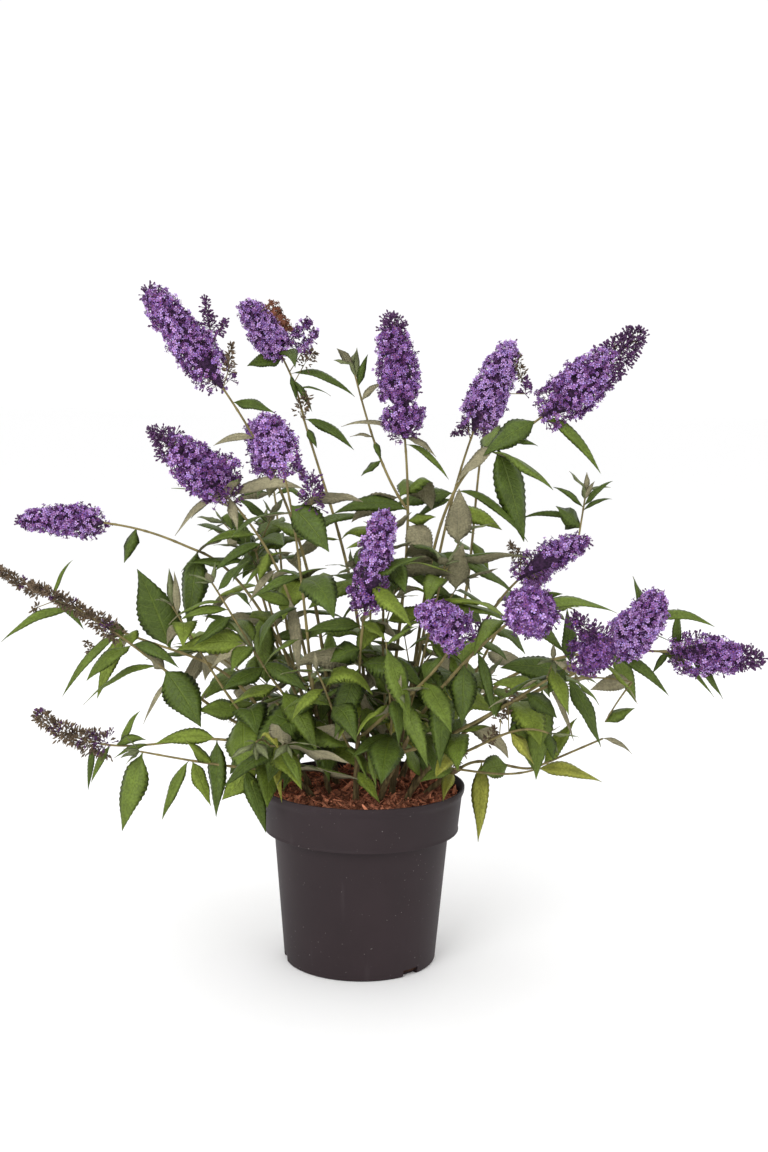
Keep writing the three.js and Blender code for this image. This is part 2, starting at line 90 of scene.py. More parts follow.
# Each cane: bearing and distance of its root from the pot's axis, then bearing, reach and
# height of its tip. Degrees from +X towards +Y, and millimetres.
CANES = {
    "cane_left_back": ((150, 34), (152, 46, 300)),
    "cane_back_middle": ((72, 26), (90, 38, 310)),
    "cane_centre": ((8, 22), (12, 34, 316)),
    "cane_right": ((-28, 38), (-22, 55, 306)),
    "cane_right_back": ((38, 46), (40, 72, 296)),
    "cane_left": ((-160, 40), (-152, 60, 296)),
    "cane_low_left": ((178, 58), (-179, 96, 256)),
    "cane_lowest_left": ((-152, 62), (-158, 100, 230)),
    "cane_front": ((-98, 44), (-93, 72, 280)),
    "cane_front_right": ((-64, 48), (-61, 100, 270)),
    "cane_right_front": ((-36, 62), (-38, 118, 258)),
    "cane_far_right": ((6, 56), (0, 100, 262)),
    "cane_low_right": ((-12, 72), (-10, 112, 224)),
    "cane_back": ((92, 52), (88, 90, 262)),
    "cane_back_left": ((128, 56), (129, 102, 260)),
    "cane_back_right": ((50, 70), (48, 114, 258)),
}

# Each flowering shoot: its cane, the share of the cane where it leaves, the tip, the place
# where the head begins, and the head's width.
FLOWERING = {
    "upper_left": ("cane_left_back", 1, (173, 246, 743), (163, 166, 641), 53),
    "upper_middle_left": ("cane_back_middle", 1, (155, 153, 729), (133, 145, 682), 46),
    "upper_middle": ("cane_centre", 1, (37, 30, 718), (32, 53, 585), 54),
    "upper_middle_right": ("cane_right_back", 1, (34, 197, 691), (42, 157, 593), 50),
    "upper_right": ("cane_right", 1, (-4, 294, 705), (0, 194, 609), 58),
    "high_left": ("cane_left", 1, (-157, 241, 593), (-154, 159, 533), 52),
    "middle_left": ("cane_left", 0.86, (-117, 213, 608), (-117, 168, 567), 47),
    "far_left": ("cane_left_back", 0.74, (170, 402, 483), (169, 304, 490), 42),
    "far_left_spent": ("cane_low_left", 1, (177, 424, 439), (178, 270, 350), 20),
    "left_spent": ("cane_low_left", 0.84, (-170, 362, 428), (-169, 265, 379), 21),
    "low_left_spent": ("cane_lowest_left", 1, (-174, 359, 282), (-173, 293, 226), 30),
    "centre": ("cane_front", 1, (-81, 132, 514), (-90, 108, 411), 43),
    "front_middle": ("cane_front", 0.82, (-77, 253, 430), (-60, 238, 415), 44),
    "front_right": ("cane_front_right", 1, (-63, 338, 432), (-52, 288, 447), 52),
    "right_high": ("cane_far_right", 0.82, (0, 243, 476), (4, 162, 446), 42),
    "front_right_low": ("cane_front_right", 0.8, (-49, 343, 395), (-39, 306, 395), 45),
    "right_front": ("cane_right_front", 1, (-29, 338, 438), (-23, 302, 370), 50),
    "far_right": ("cane_far_right", 1, (-6, 434, 355), (-4, 337, 358), 52),
    "back_tall": ("cane_back_right", 1, (52, 271, 678), (56, 229, 596), 42),
    "back_right": ("cane_back_right", 0.84, (41, 328, 441), (43, 253, 420), 34),
    "back": ("cane_back", 1, (87, 250, 459), (89, 196, 378), 40),
    "back_left": ("cane_back_left", 1, (127, 236, 592), (126, 176, 540), 40),
    "back_far_left": ("cane_back_left", 0.84, (137, 296, 554), (135, 225, 515), 40),
}

# Each leafy shoot: the cane or stem that carries it, the share of that where it leaves, the
# tip, and its bow.
LEAFY = {
    "tall_leafy": ("upper_middle", 0.47, (106, 66, 665), 0.0),
    "right_leafy": ("right_high", 0.8, (14, 257, 528), 0.0),
    "left_leafy": ("cane_low_left", 0.66, (-172, 211, 401), 0.04),
    "left_young": ("cane_left", 0.7, (-156, 176, 432), 0.04),
    "left_hanging": ("cane_lowest_left", 0.8, (-164, 248, 248), 0.0),
    "front_left": ("cane_lowest_left", 0.6, (-128, 176, 276), 0.2),
    "front_short": ("cane_front", 0.6, (-108, 150, 352), 0.12),
    "front_right_leafy": ("cane_right_front", 0.82, (-44, 262, 300), 0.2),
    "front_low": ("cane_front_right", 0.62, (-76, 158, 334), 0.14),
    "low_right": ("cane_low_right", 1, (-9, 266, 264), -0.3),
    "right_hanging": ("cane_right_front", 0.6, (-26, 212, 243), -0.15),
    "inner_left": ("cane_left_back", 0.56, (168, 128, 466), 0.04),
    "inner_right": ("cane_right", 0.7, (-44, 118, 456), 0.04),
    "inner_middle": ("cane_centre", 0.62, (-70, 66, 486), 0.08),
    "back_low": ("cane_back", 0.58, (98, 206, 286), 0.18),
    "back_left_leafy": ("cane_back_left", 0.76, (148, 234, 330), 0.14),
    "back_left_low": ("cane_back_left", 0.52, (118, 206, 258), 0.16),
    "back_right_leafy": ("cane_back_right", 0.76, (32, 300, 300), 0.14),
    "back_right_low": ("cane_back_right", 0.54, (66, 214, 276), 0.16),
}

# Where a stem turns on its way to its tip.
KNEES = {
    "far_left": (167, 195, 454),
    "upper_middle_left": (129, 114, 597),
    "right_leafy": (7, 239, 469),
    "upper_right": (-3, 142, 579),
    "low_right": (-9, 196, 229),
}

# Shoots whose leaves stand further apart than on the others, and by how much.
SPARSE = {
    "upper_middle_left": 3,
    "upper_middle": 2,
    "upper_middle_right": 2.5,
    "upper_right": 2.5,
    "high_left": 2,
    "far_left": 9,
    "far_left_spent": 5,
    "left_spent": 4,
    "low_left_spent": 9,
    "right_front": 1.5,
    "far_right": 1.8,
    "back_tall": 2,
    "back_far_left": 1.5,
    "tall_leafy": 9,
    "right_leafy": 9,
    "left_leafy": 1.8,
    "left_young": 1.8,
    "left_hanging": 9,
    "front_right_leafy": 2.5,
    "low_right": 9,
    "right_hanging": 4,
}
TWIGGY = 1.8  # shoots as sparse as this carry no side twigs
# Stretches of stem, in millimetres from where it sets off, that have shed their leaves.
SHED = {
    "upper_left": (300, 500),
    "far_left_spent": (0, 70),
    "back_left_leafy": (0, 60),
    "upper_middle_right": (250, 400),
    "back_tall": (170, 260),
    "left_leafy": (100, 150),
    "left_hanging": (0, 60),
    "back_right_leafy": (110, 150),
    "upper_middle": (243, 303),
}

# How a stem sets off, straight on from a cane's tip or at an angle from its side, for what
# share of the way to its own tip, and how it lines up with its flower head.
SET_OFF = {"onward": 0.4, "aside": 0.3, "side_angle": 40, "past_neck": 1.5}
# How far a stem's turn rounds off, as a share of the way to it and on from it, and where a
# leafy stem bows beyond it.
KNEE = {"reach": 0.3, "bow": 0.6}
# How far a cane rises upright, where it bows and how far, as shares of its span.
CANE_BOW = {"upright": 0.16, "place": 0.55, "rise": 0.05}
TUFT = 6  # the stretch of a leafy stem's tip that only its tuft stands on, in millimetres

# How far each flower head has come: the share of it from the tip that is still in bud, how
# blunt it ends, how many florets are painted lit rather than painted shaded, the share at its
# foot that is loose, and the share of the head where its outline is nipped in, if it is.
Bloom = namedtuple("Bloom", "buds blunt pale loose waist", defaults=(-1,))
BLOOM = {
    "upper_left": Bloom(0.03, 0.9, 0.65, 0.28),
    "upper_middle_left": Bloom(0.0, 1, 0.95, 0.1),
    "upper_middle": Bloom(0.12, 0.75, 0.3, 0.1, 0.29),
    "upper_middle_right": Bloom(0.0, 0.85, 1.4, 0.22),
    "upper_right": Bloom(0.37, 0.5, 0.6, 0.2),
    "high_left": Bloom(0.28, 0.6, 0.38, 0.2),
    "middle_left": Bloom(0.0, 1, 1.0, 0.3),
    "far_left": Bloom(0.05, 0.7, 0.6, 0.15),
    "centre": Bloom(0.0, 1, 0.85, 0.42, 0.45),
    "front_middle": Bloom(0.0, 0.9, 0.65, 0.3),
    "front_right": Bloom(0.0, 1, 0.35, 0.2),
    "right_high": Bloom(0.05, 0.8, 0.5, 0.5),
    "front_right_low": Bloom(0.0, 0.9, -0.1, 0.6),
    "right_front": Bloom(0.0, 1, 0.9, 0.15),
    "far_right": Bloom(0.22, 0.4, 0.6, 0.42),
    "back_tall": Bloom(0.1, 0.6, 0.5, 0.2),
    "back_right": Bloom(0.05, 0.7, 0.5, 0.2),
    "back": Bloom(0.12, 0.6, 0.3, 0.2),
    "back_left": Bloom(0.0, 0.9, 0.6, 0.2),
    "back_far_left": Bloom(0.06, 0.8, 0.45, 0.2),
}
# The spent heads: how blunt they end, the share at the foot that is bare, and how many of
# their parts are dark.
SPENT_BLUNT = 0.5
SPENT = {
    "far_left_spent": (0.62, 0.05),
    "left_spent": (0.0, 0.08),
    "low_left_spent": (0.0, 0.2),
}

# What stands out of the crown is placed as the camera sees it, in px across and down the
# picture. Twigs: the limb that carries each, its foot and its tip, and how far back that is.
PICTURE = (768, 1152)
SENSOR = 36  # millimetres along the picture's long side
STANDOUT_TWIGS = {
    "right_side": ("right_front", (563, 679), (632, 682), -100),
    "right_drop": ("right_side", (632, 682), (605, 722), -104),
    "front_twig": ("front_low", (391, 724), (386, 642), -150),
}

# Leaves: the limb, the foot and the tip, the breadth in px, the tone, and how far the tip
# stands behind the foot. A turned leaf shows its felt.
STANDOUT_LEAVES = (
    ("upper_middle_left", (285, 358), (247, 366), 17, "deep", -28),
    ("upper_left", (242, 393), (275, 413), 16, "deep", -16),
    ("far_left_spent", (260, 709), (277, 778), 34, "middle", -25),
    ("cane_left", (321, 747), (383, 783), 17, "fresh", -27),
    ("far_right", (690, 672), (723, 699), 15, "deep", -19),
    ("far_left_spent", (72, 614), (1, 642), 11, "middle", -19),
    ("right_front", (569, 677), (601, 747), 23, "deep", -24),
    ("right_front", (520, 700), (536, 775), 32, "middle", -28),
    ("inner_right", (420, 670), (436, 720), 23, "deep", -20),
    ("inner_middle", (383, 590), (331, 575), 18, "deep", -1),
    ("upper_right", (433, 555), (520, 600), 23, "deep", -26),
    ("left_leafy", (263, 736), (282, 803), 13, "yellowing", -92),
    ("far_left_spent", (40, 611), (84, 630), 8, "deep", -10),
    ("far_left_spent", (56, 600), (73, 560), 5, "middle", 0),
    ("far_left_spent", (120, 646), (62, 697), 10, "middle", -12),
    ("far_left_spent", (122, 652), (97, 699), 15, "fresh", -20),
    ("left_spent", (152, 678), (83, 705), 12, "middle", -20),
    ("left_spent", (166, 692), (143, 725), 6, "turned", -10),
    ("left_spent", (134, 640), (179, 668), 13, "deep", -20),
    ("left_spent", (122, 640), (108, 621), 16, "deep", 6),
    ("left_spent", (158, 678), (143, 652), 17, "turned", -6),
    ("left_spent", (172, 660), (201, 727), 37, "deep", -20),
    ("upper_left", (262, 438), (213, 446), 9, "turned", -6),
    ("low_left_spent", (119, 742), (140, 711), 9, "middle", -5),
    ("low_left_spent", (117, 742), (146, 740), 9, "middle", -18),
    ("low_left_spent", (95, 748), (88, 791), 8, "deep", -5),
    ("low_left_spent", (112, 748), (91, 783), 8, "middle", -14),
    ("left_leafy", (245, 710), (198, 711), 20, "middle", -20),
    ("left_young", (300, 730), (283, 792), 20, "deep", -40),
    ("upper_middle_left", (316, 362), (355, 397), 10, "deep", -10),
    ("upper_middle_left", (304, 386), (331, 396), 5, "deep", -6),
    ("upper_middle_left", (316, 424), (317, 448), 10, "deep", -8),
    ("high_left", (244, 486), (304, 489), 14, "turned", -16),
    ("high_left", (222, 498), (175, 536), 9, "turned", -12),
    ("high_left", (226, 503), (238, 531), 11, "turned", -16),
    ("high_left", (262, 532), (204, 545), 11, "middle", -14),
    ("upper_middle", (399, 508), (333, 514), 16, "deep", -20),
    ("upper_middle_right", (456, 492), (393, 507), 22, "deep", -16),
    ("upper_right", (428, 600), (452, 578), 10, "turned", -6),
    ("upper_right", (432, 604), (478, 608), 16, "deep", -10),
    ("centre", (360, 625), (304, 632), 18, "deep", -14),
    ("back_tall", (473, 540), (489, 572), 14, "middle", -14),
    ("tall_leafy", (354, 378), (345, 351), 6, "young", 0),
    ("tall_leafy", (355, 378), (357, 347), 7, "young", 2),
    ("tall_leafy", (357, 388), (368, 354), 9, "deep", -4),
    ("tall_leafy", (361, 400), (383, 383), 7, "turned", -4),
    ("tall_leafy", (372, 437), (350, 437), 6, "turned", -4),
    ("tall_leafy", (374, 440), (381, 460), 8, "deep", -8),
    ("tall_leafy", (379, 460), (361, 476), 12, "deep", -8),
    ("upper_right", (500, 450), (455, 485), 20, "turned", -8),
    ("upper_right", (502, 456), (524, 542), 33, "deep", -16),
    ("upper_right", (533, 416), (483, 456), 26, "deep", -10),
    ("upper_right", (540, 416), (601, 474), 12, "middle", -6),
    ("upper_middle_left", (300, 420), (354, 450), 12, "deep", -14),
    ("upper_right", (470, 500), (528, 542), 10, "deep", -10),
    ("upper_middle_right", (455, 498), (412, 521), 12, "deep", -10),
    ("upper_middle_right", (446, 508), (502, 530), 19, "fresh", -14),
    ("upper_middle", (400, 527), (432, 558), 25, "turned", -14),
    ("upper_right", (512, 448), (538, 446), 9, "deep", -8),
    ("right_leafy", (581, 507), (553, 487), 9, "deep", -4),
    ("right_leafy", (584, 500), (595, 481), 6, "turned", 0),
    ("right_leafy", (585, 507), (613, 481), 8, "deep", -4),
    ("right_leafy", (585, 511), (612, 499), 6, "deep", -8),
    ("front_right", (570, 600), (617, 613), 19, "middle", 20),
    ("right_front", (628, 604), (633, 576), 13, "deep", 6),
    ("right_front", (655, 632), (715, 627), 13, "middle", 10),
    ("far_right", (680, 642), (678, 608), 9, "deep", -20),
    ("far_right", (672, 658), (652, 674), 8, "deep", -10),
    ("right_front", (612, 662), (669, 696), 14, "deep", -20),
    ("far_right", (650, 655), (714, 697), 10, "middle", 10),
    ("front_right", (520, 602), (563, 594), 11, "deep", -24),
    ("front_right", (478, 650), (494, 718), 12, "deep", -26),
    ("inner_right", (425, 640), (468, 690), 17, "middle", -30),
    ("right_front", (550, 698), (574, 742), 7, "turned", -14),
    ("cane_low_right", (452, 776), (443, 801), 12, "yellowing", -60),
    ("centre", (388, 580), (426, 556), 24, "deep", -16),
    ("centre", (352, 620), (386, 641), 20, "fresh", -34),
    ("upper_right", (418, 556), (481, 567), 9, "deep", -16),
    ("high_left", (282, 602), (300, 679), 15, "turned", -20),
    ("far_left", (135, 531), (124, 563), 14, "deep", -8),
    ("far_left", (197, 551), (188, 630), 32, "deep", -20),
    ("far_left_spent", (166, 662), (137, 569), 38, "deep", -14),
    ("left_leafy", (172, 604), (169, 568), 9, "young", 0),
    ("left_leafy", (181, 612), (174, 571), 8, "turned", -4),
    ("left_young", (240, 602), (180, 620), 12, "middle", -14),
    ("high_left", (268, 540), (214, 572), 12, "deep", -16),
    ("left_young", (222, 588), (248, 561), 13, "deep", 0),
    ("high_left", (270, 560), (242, 590), 7, "middle", -8),
    ("middle_left", (299, 579), (250, 600), 14, "deep", -10),
    ("high_left", (272, 575), (249, 604), 7, "turned", -14),
    ("high_left", (270, 551), (259, 581), 12, "fresh", -14),
    ("high_left", (282, 612), (246, 592), 17, "middle", -8),
    ("far_left", (258, 614), (264, 680), 21, "middle", -16),
    ("left_young", (246, 634), (202, 616), 9, "deep", -6),
    ("left_young", (214, 626), (194, 646), 18, "deep", -6),
    ("left_young", (250, 655), (228, 621), 9, "young", -14),
    ("left_young", (250, 645), (176, 650), 26, "fresh", -10),
    ("left_young", (238, 650), (211, 668), 12, "turned", -14),
    ("left_hanging", (143, 752), (122, 831), 29, "middle", -14),
    ("left_hanging", (187, 768), (162, 820), 15, "middle", -10),
    ("low_left_spent", (218, 748), (155, 744), 19, "fresh", -10),
    ("left_hanging", (212, 770), (186, 741), 15, "fresh", -4),
    ("left_hanging", (190, 766), (211, 806), 20, "fresh", -12),
    ("low_left_spent", (217, 748), (216, 817), 20, "deep", -14),
    ("low_left_spent", (247, 754), (226, 738), 18, "deep", -8),
    ("left_hanging", (258, 768), (222, 800), 24, "fresh", -16),
    ("left_leafy", (256, 703), (244, 778), 38, "middle", -88),
    ("left_leafy", (277, 736), (267, 808), 36, "middle", -98),
    ("left_hanging", (244, 772), (266, 833), 20, "deep", -24),
    ("low_left_spent", (150, 744), (114, 758), 9, "middle", -10),
    ("right_side", (631, 682), (590, 690), 20, "turned", -4),
    ("right_drop", (605, 721), (635, 708), 14, "middle", -2),
    ("right_hanging", (537, 768), (602, 782), 19, "yellowing", -6),
    ("low_right", (482, 764), (478, 842), 19, "yellowing", -30),
    ("low_right", (541, 757), (577, 718), 22, "fresh", -6),
    ("low_right", (604, 738), (632, 754), 8, "turned", -4),
    ("right_front", (570, 670), (500, 668), 26, "deep", -24),
    ("front_right_low", (562, 666), (548, 694), 20, "deep", -14),
    ("front_right_low", (570, 662), (567, 607), 18, "deep", 0),
    ("front_right_low", (540, 684), (490, 685), 20, "fresh", -14),
    ("right_front", (541, 690), (536, 780), 26, "middle", -30),
    ("upper_middle", (409, 521), (436, 517), 14, "fresh", -6),
    ("right_leafy", (581, 528), (556, 506), 24, "deep", -6),
    ("right_leafy", (581, 524), (520, 519), 9, "deep", -2),
    ("right_leafy", (585, 500), (583, 484), 7, "young", 0),
    ("upper_middle_left", (295, 380), (312, 412), 8, "deep", -6),
    ("upper_middle_left", (292, 374), (297, 402), 7, "deep", -6),
    ("upper_middle", (404, 438), (341, 427), 7, "turned", -8),
    ("upper_middle", (404, 437), (436, 457), 8, "turned", -8),
    ("upper_middle", (405, 447), (449, 480), 8, "middle", -10),
    ("front_twig", (387, 648), (411, 722), 31, "middle", -20),
    ("front_twig", (387, 644), (418, 626), 10, "middle", -6),
    ("centre", (368, 584), (413, 628), 25, "fresh", -45),
    ("middle_left", (306, 503), (329, 552), 34, "deep", -16),
    ("left_young", (275, 698), (317, 752), 25, "middle", -60),
    ("centre", (366, 668), (334, 738), 34, "deep", -20),
    ("centre", (366, 698), (338, 740), 22, "fresh", -34),
    ("centre", (362, 648), (330, 662), 24, "deep", -14),
    ("middle_left", (316, 690), (298, 716), 24, "deep", -20),
    ("left_young", (262, 672), (222, 690), 24, "deep", -30),
    ("far_left_spent", (262, 700), (203, 714), 22, "middle", -30),
    ("left_young", (260, 665), (308, 692), 22, "deep", -30),
    ("cane_low_left", (305, 775), (283, 790), 11, "yellowing", -70),
    ("cane_front", (356, 770), (380, 803), 16, "fresh", -24),
    ("front_low", (405, 700), (428, 768), 20, "middle", -20),
    ("front_right", (450, 690), (440, 768), 26, "deep", -30),
    ("front_middle", (425, 690), (452, 700), 16, "yellowing", -20),
    ("front_right", (470, 668), (462, 725), 30, "deep", -20),
    ("front_right_low", (528, 700), (557, 718), 19, "deep", -20),
    ("low_right", (512, 752), (478, 773), 25, "middle", -30),
    ("front_right_leafy", (512, 738), (534, 765), 15, "yellowing", -20),
    ("right_hanging", (456, 764), (420, 782), 13, "middle", -20),
    ("front_low", (391, 735), (352, 757), 18, "deep", -30),
    ("cane_right_front", (421, 778), (400, 742), 18, "middle", -40),
)

# Small spikes beside the heads: the shoot, the foot and the tip, the width in mm, the state,
# and how far behind the shoot each stands.
SPIKES = (
    ("upper_left", (211, 331), (205, 300), 14, "bud", -4),
    ("upper_left", (217, 334), (224, 321), 11, "dark", -4),
    ("upper_left", (228, 372), (231, 346), 12, "spent", -10),
    ("upper_middle_left", (290, 340), (308, 321), 19, "loose", 0),
    ("upper_middle_left", (302, 353), (315, 332), 17, "loose", 0),
    ("upper_middle_left", (304, 365), (312, 353), 17, "spent", -4),
    ("upper_middle_left", (270, 303), (289, 328), 17, "rust", -26),
    ("upper_middle_left", (300, 413), (306, 397), 17, "spent", 0),
    ("upper_middle_right", (522, 378), (518, 357), 12, "spent", 0),
    ("upper_middle_right", (525, 394), (527, 381), 15, "dark", 0),
    ("upper_middle_right", (468, 427), (455, 433), 14, "dark", 0),
    ("high_left", (204, 462), (235, 463), 25, "open", -4),
    ("high_left", (231, 500), (233, 476), 27, "dark", 0),
    ("middle_left", (312, 504), (312, 480), 30, "dark", 0),
    ("middle_left", (292, 462), (303, 476), 16, "loose", 0),
    ("right_high", (521, 562), (511, 545), 12, "spent", 0),
    ("front_right_low", (604, 641), (574, 620), 27, "dark", -8),
    ("front_middle", (476, 634), (489, 622), 15, "dark", 0),
    ("centre", (364, 600), (350, 590), 15, "loose", -4),
    ("centre", (372, 596), (388, 606), 15, "dark", -4),
    ("front_right_leafy", (508, 699), (516, 690), 11, "spent", 0),
    ("front_right_leafy", (501, 719), (508, 711), 9, "spent", 0),
    ("front_right_leafy", (487, 742), (495, 730), 12, "spent", 0),
    ("front_right_leafy", (452, 768), (463, 752), 10, "spent", 0),
    ("far_left_spent", (91, 650), (87, 642), 9, "spent", 0),
    ("far_left_spent", (38, 607), (33, 610), 8, "spent", 0),
)


# ---- Directions, curves and chance ----


def polar(bearing, reach, height):
    """A point by its bearing and distance from the pot's axis, and its height, in mm."""
    angle = math.radians(bearing)
    return MM * np.array([reach * math.cos(angle), reach * math.sin(angle), height])


def unit(vector):
    return vector / np.maximum(np.linalg.norm(vector, axis=-1, keepdims=True), 1e-12)


def turned(vector, axis, angle):
    """The vector turned about a unit axis by the right-hand rule."""
    return (
        vector * math.cos(angle)
        + np.cross(axis, vector) * math.sin(angle)
        + axis * np.dot(axis, vector) * (1 - math.cos(angle))
    )


def lerp(a, b, share):
    return a + (b - a) * share


def angles_round(count):
    """So many angles, evenly spread over a full turn."""
    return np.linspace(0, 2 * math.pi, count, endpoint=False)


def flat_off(vector, axis):
    """The part of a vector that is square to a unit axis."""
    return vector - axis * np.dot(vector, axis)


class Draws:
    """A repeatable stream of numbers from 0 to 1, by the linear congruential rule."""

    def __init__(self, seed):
        self.state = seed

    def __call__(self):
        self.state = (self.state * 1664525 + 1013904223) % 2**32
        return self.state / 2**32

    def between(self, low, high):
        return low + (high - low) * self()


class Path:
    """A smooth line through space, measured along its own length."""

    def __init__(self, points):
        self.points = points
        steps = np.linalg.norm(np.diff(points, axis=0), axis=1)
        self.marks = np.concatenate([[0.0], np.cumsum(steps)])
        self.length = self.marks[-1]

    @classmethod
    def bezier(cls, *controls, count=60):
        t = np.linspace(0, 1, count)[:, None]
        rows = [np.repeat(point[None], count, axis=0) for point in controls]
        while len(rows) > 1:
            rows = [a + (b - a) * t for a, b in zip(rows, rows[1:])]
        return cls(rows[0])

    def at(self, distance):
        distance = np.asarray(distance, float)
        coords = [np.interp(distance, self.marks, self.points[:, axis]) for axis in range(3)]
        return np.stack(coords, axis=-1)

    def heading(self, distance):
        reach = 0.004 * self.length
        low = np.clip(np.asarray(distance, float) - reach, 0, self.length - reach)
        return unit(self.at(low + reach) - self.at(low))


def cane_path(root, tip):
    """A cane leaves the mulch upright and soon leans out."""
    foot = polar(*root, SOIL_SURFACE + GAP)
    top = polar(*tip)
    span = np.linalg.norm(top - foot)
    upright = foot + UP * CANE_BOW["upright"] * span
    leaning = lerp(foot, top, CANE_BOW["place"]) + UP * CANE_BOW["rise"] * span
    return Path.bezier(foot, upright, leaning, top)


def shoot_path(name):
    """A stem sets off from its cane and bends over towards its tip."""
    flowers = name in FLOWERING
    cane, at, tip, lean = FLOWERING[name][:4] if flowers else LEAFY[name]
    parent = shoot_path(cane) if cane in FLOWERING else cane_path(*CANES[cane])
    start, onward = parent.at(at * parent.length), parent.heading(at * parent.length)
    end = polar(*tip)
    turn = polar(*KNEES[name]) if name in KNEES else end
    span = np.linalg.norm(turn - start)
    if at == 1:
        start = start + onward * GAP * MM
        first = start + onward * SET_OFF["onward"] * span
    else:
        away = unit(flat_off(turn - start, onward))
        angle = math.radians(SET_OFF["side_angle"])
        aside = onward * math.cos(angle) + away * math.sin(angle)
        first = start + aside * SET_OFF["aside"] * span
    neck = polar(*lean) if flowers else end
    if name not in KNEES:
        bowed = lerp(first, end, 0.5) + UP * (0 if flowers else lean) * span
        in_line = lerp(end, neck, SET_OFF["past_neck"])
        return Path.bezier(start, first, in_line if flowers else bowed, end)
    through = unit(neck - turn) * KNEE["reach"]
    beyond = np.linalg.norm(neck - turn)
    in_line = neck + unit(neck - end) * KNEE["reach"] * beyond
    last = in_line if flowers else lerp(turn, end, KNEE["bow"])
    below = Path.bezier(start, first, turn - through * span, turn)
    above = Path.bezier(turn, turn + through * beyond, last, end)
    return Path(np.concatenate([below.points, above.points[1:]]))


def shoots():
    """Every shoot's name, path, bare length below its flower head, and whether it flowers."""
    for name, (_, _, tip, neck, _) in FLOWERING.items():
        path = shoot_path(name)
        yield name, path, path.length - np.linalg.norm(polar(*tip) - polar(*neck)), True
    for name in LEAFY:
        path = shoot_path(name)
        yield name, path, path.length - TUFT * MM, False


class View:
    """What the camera sees: turns places into px across and down the picture, and back."""

    def __init__(self, sizes):
        level_right = np.array([1.0, 0, 0])
        level_up = np.array([0, math.sin(sizes.pitch), math.cos(sizes.pitch)])
        self.ahead = np.array([0, math.cos(sizes.pitch), -math.sin(sizes.pitch)])
        self.right = level_right * math.cos(sizes.roll) + level_up * math.sin(sizes.roll)
        self.up = level_up * math.cos(sizes.roll) - level_right * math.sin(sizes.roll)
        self.camera = self.right * sizes.aside + self.up * sizes.height - self.ahead * sizes.distance
        self.focal = sizes.lens / SENSOR * PICTURE[1]

    def px(self, points):
        """Where points are seen."""
        rays = points - self.camera
        scale = self.focal / (rays @ self.ahead)
        across = PICTURE[0] / 2 + scale * (rays @ self.right)
        down = PICTURE[1] / 2 - scale * (rays @ self.up)
        return np.stack([across, down], axis=-1)

    def foot(self, path, px):
        """The point of a path that is seen nearest to these px."""
        return path.points[np.linalg.norm(self.px(path.points) - px, axis=-1).argmin()]

    def place(self, px, back):
        """The place that is seen at these px and lies so far back."""
        across, down = (np.array(px) - np.array(PICTURE) / 2) / self.focal
        ray = self.ahead + self.right * across - self.up * down
        return self.camera + ray * (back - self.camera[1]) / ray[1]

    def size(self, px, place):
        """The real size of what spans so many px at a place."""
        return px * ((place - self.camera) @ self.ahead) / self.focal


# ---- Meshes ----


class Batch:
    """Points and faces of like pieces, gathered into one mesh."""

    def __init__(self):
        self.points, self.faces, self.maps, self.kinds = [], [], [], []
        self.first = self.count = 0

    def add(self, points, faces, places=None, kind=0):
        """places gives each point its place on a leaf or floret, and kind the faces' material."""
        self.first = self.count
        self.count += len(points)
        self.points.append(points)
        self.maps.append(np.zeros((len(points), 2)) if places is None else places)
        self.add_faces(faces, kind)

    def add_faces(self, faces, kind=0):
        """More faces over the points that were added last."""
        self.faces.append(np.asarray(faces) + self.first)
        self.kinds.append(np.full(len(faces), kind))

    def add_copies(self, shape, origins, frames, scales):
        """Copies of a shape (points, faces, places), each in its own frame and size."""
        points, faces, places = shape
        placed = np.einsum("mk,nkj->nmj", points, frames) * np.reshape(scales, (-1, 1, 1))
        placed += origins[:, None, :]
        offsets = np.arange(len(origins))[:, None, None] * len(points)
        grown = (faces[None] + offsets).reshape(-1, faces.shape[1])
        self.add(placed.reshape(-1, 3), grown, np.tile(places, (len(origins), 1)))

    def build(self, name, materials, smooth=True):
        mesh = bpy.data.meshes.new(name)
        points = np.concatenate(self.points)
        loops = np.concatenate([faces.ravel() for faces in self.faces])
        sizes = np.concatenate([np.full(len(f), f.shape[1]) for f in self.faces])
        mesh.vertices.add(len(points))
        mesh.vertices.foreach_set("co", points.ravel())
        mesh.loops.add(len(loops))
        mesh.loops.foreach_set("vertex_index", loops)
        mesh.polygons.add(len(sizes))
        mesh.polygons.foreach_set("loop_start", np.concatenate([[0], np.cumsum(sizes)[:-1]]))
        mesh.polygons.foreach_set("material_index", np.concatenate(self.kinds))
        mesh.polygons.foreach_set("use_smooth", np.full(len(sizes), smooth))
        layer = mesh.uv_layers.new(name="place")
        layer.data.foreach_set("uv", np.concatenate(self.maps)[loops].ravel())
        mesh.update(calc_edges=True)
        mesh.validate()
        piece = bpy.data.objects.new(name, mesh)
        for material in materials:
            mesh.materials.append(material)
        bpy.context.scene.collection.objects.link(piece)
        return piece


def keep(piece, slot, *nodes):
    """Sets a finished piece on the frame, in place of the nodes. The slot argument is not used."""
    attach(piece, "root")
    if nodes:
        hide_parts(*nodes)


def ring_quads(rings, around):
    """The faces between rings that lie one after the other, each of so many points."""
    first = np.arange(rings - 1)[:, None] * around
    side = np.arange(around)[None]
    after = (side + 1) % around
    quads = [first + side, first + after, first + around + after, first + around + side]
    return np.stack(quads, -1).reshape(-1, 4)


def flipped(faces):
    """The faces turned to look the other way."""
    return np.roll(faces[:, ::-1], 1, axis=1)


def fan(hub, first, around):
    """The triangles from a hub to the ring that starts at a point."""
    ring = np.arange(around)
    return np.stack([np.full(around, hub), first + ring, first + (ring + 1) % around], -1)


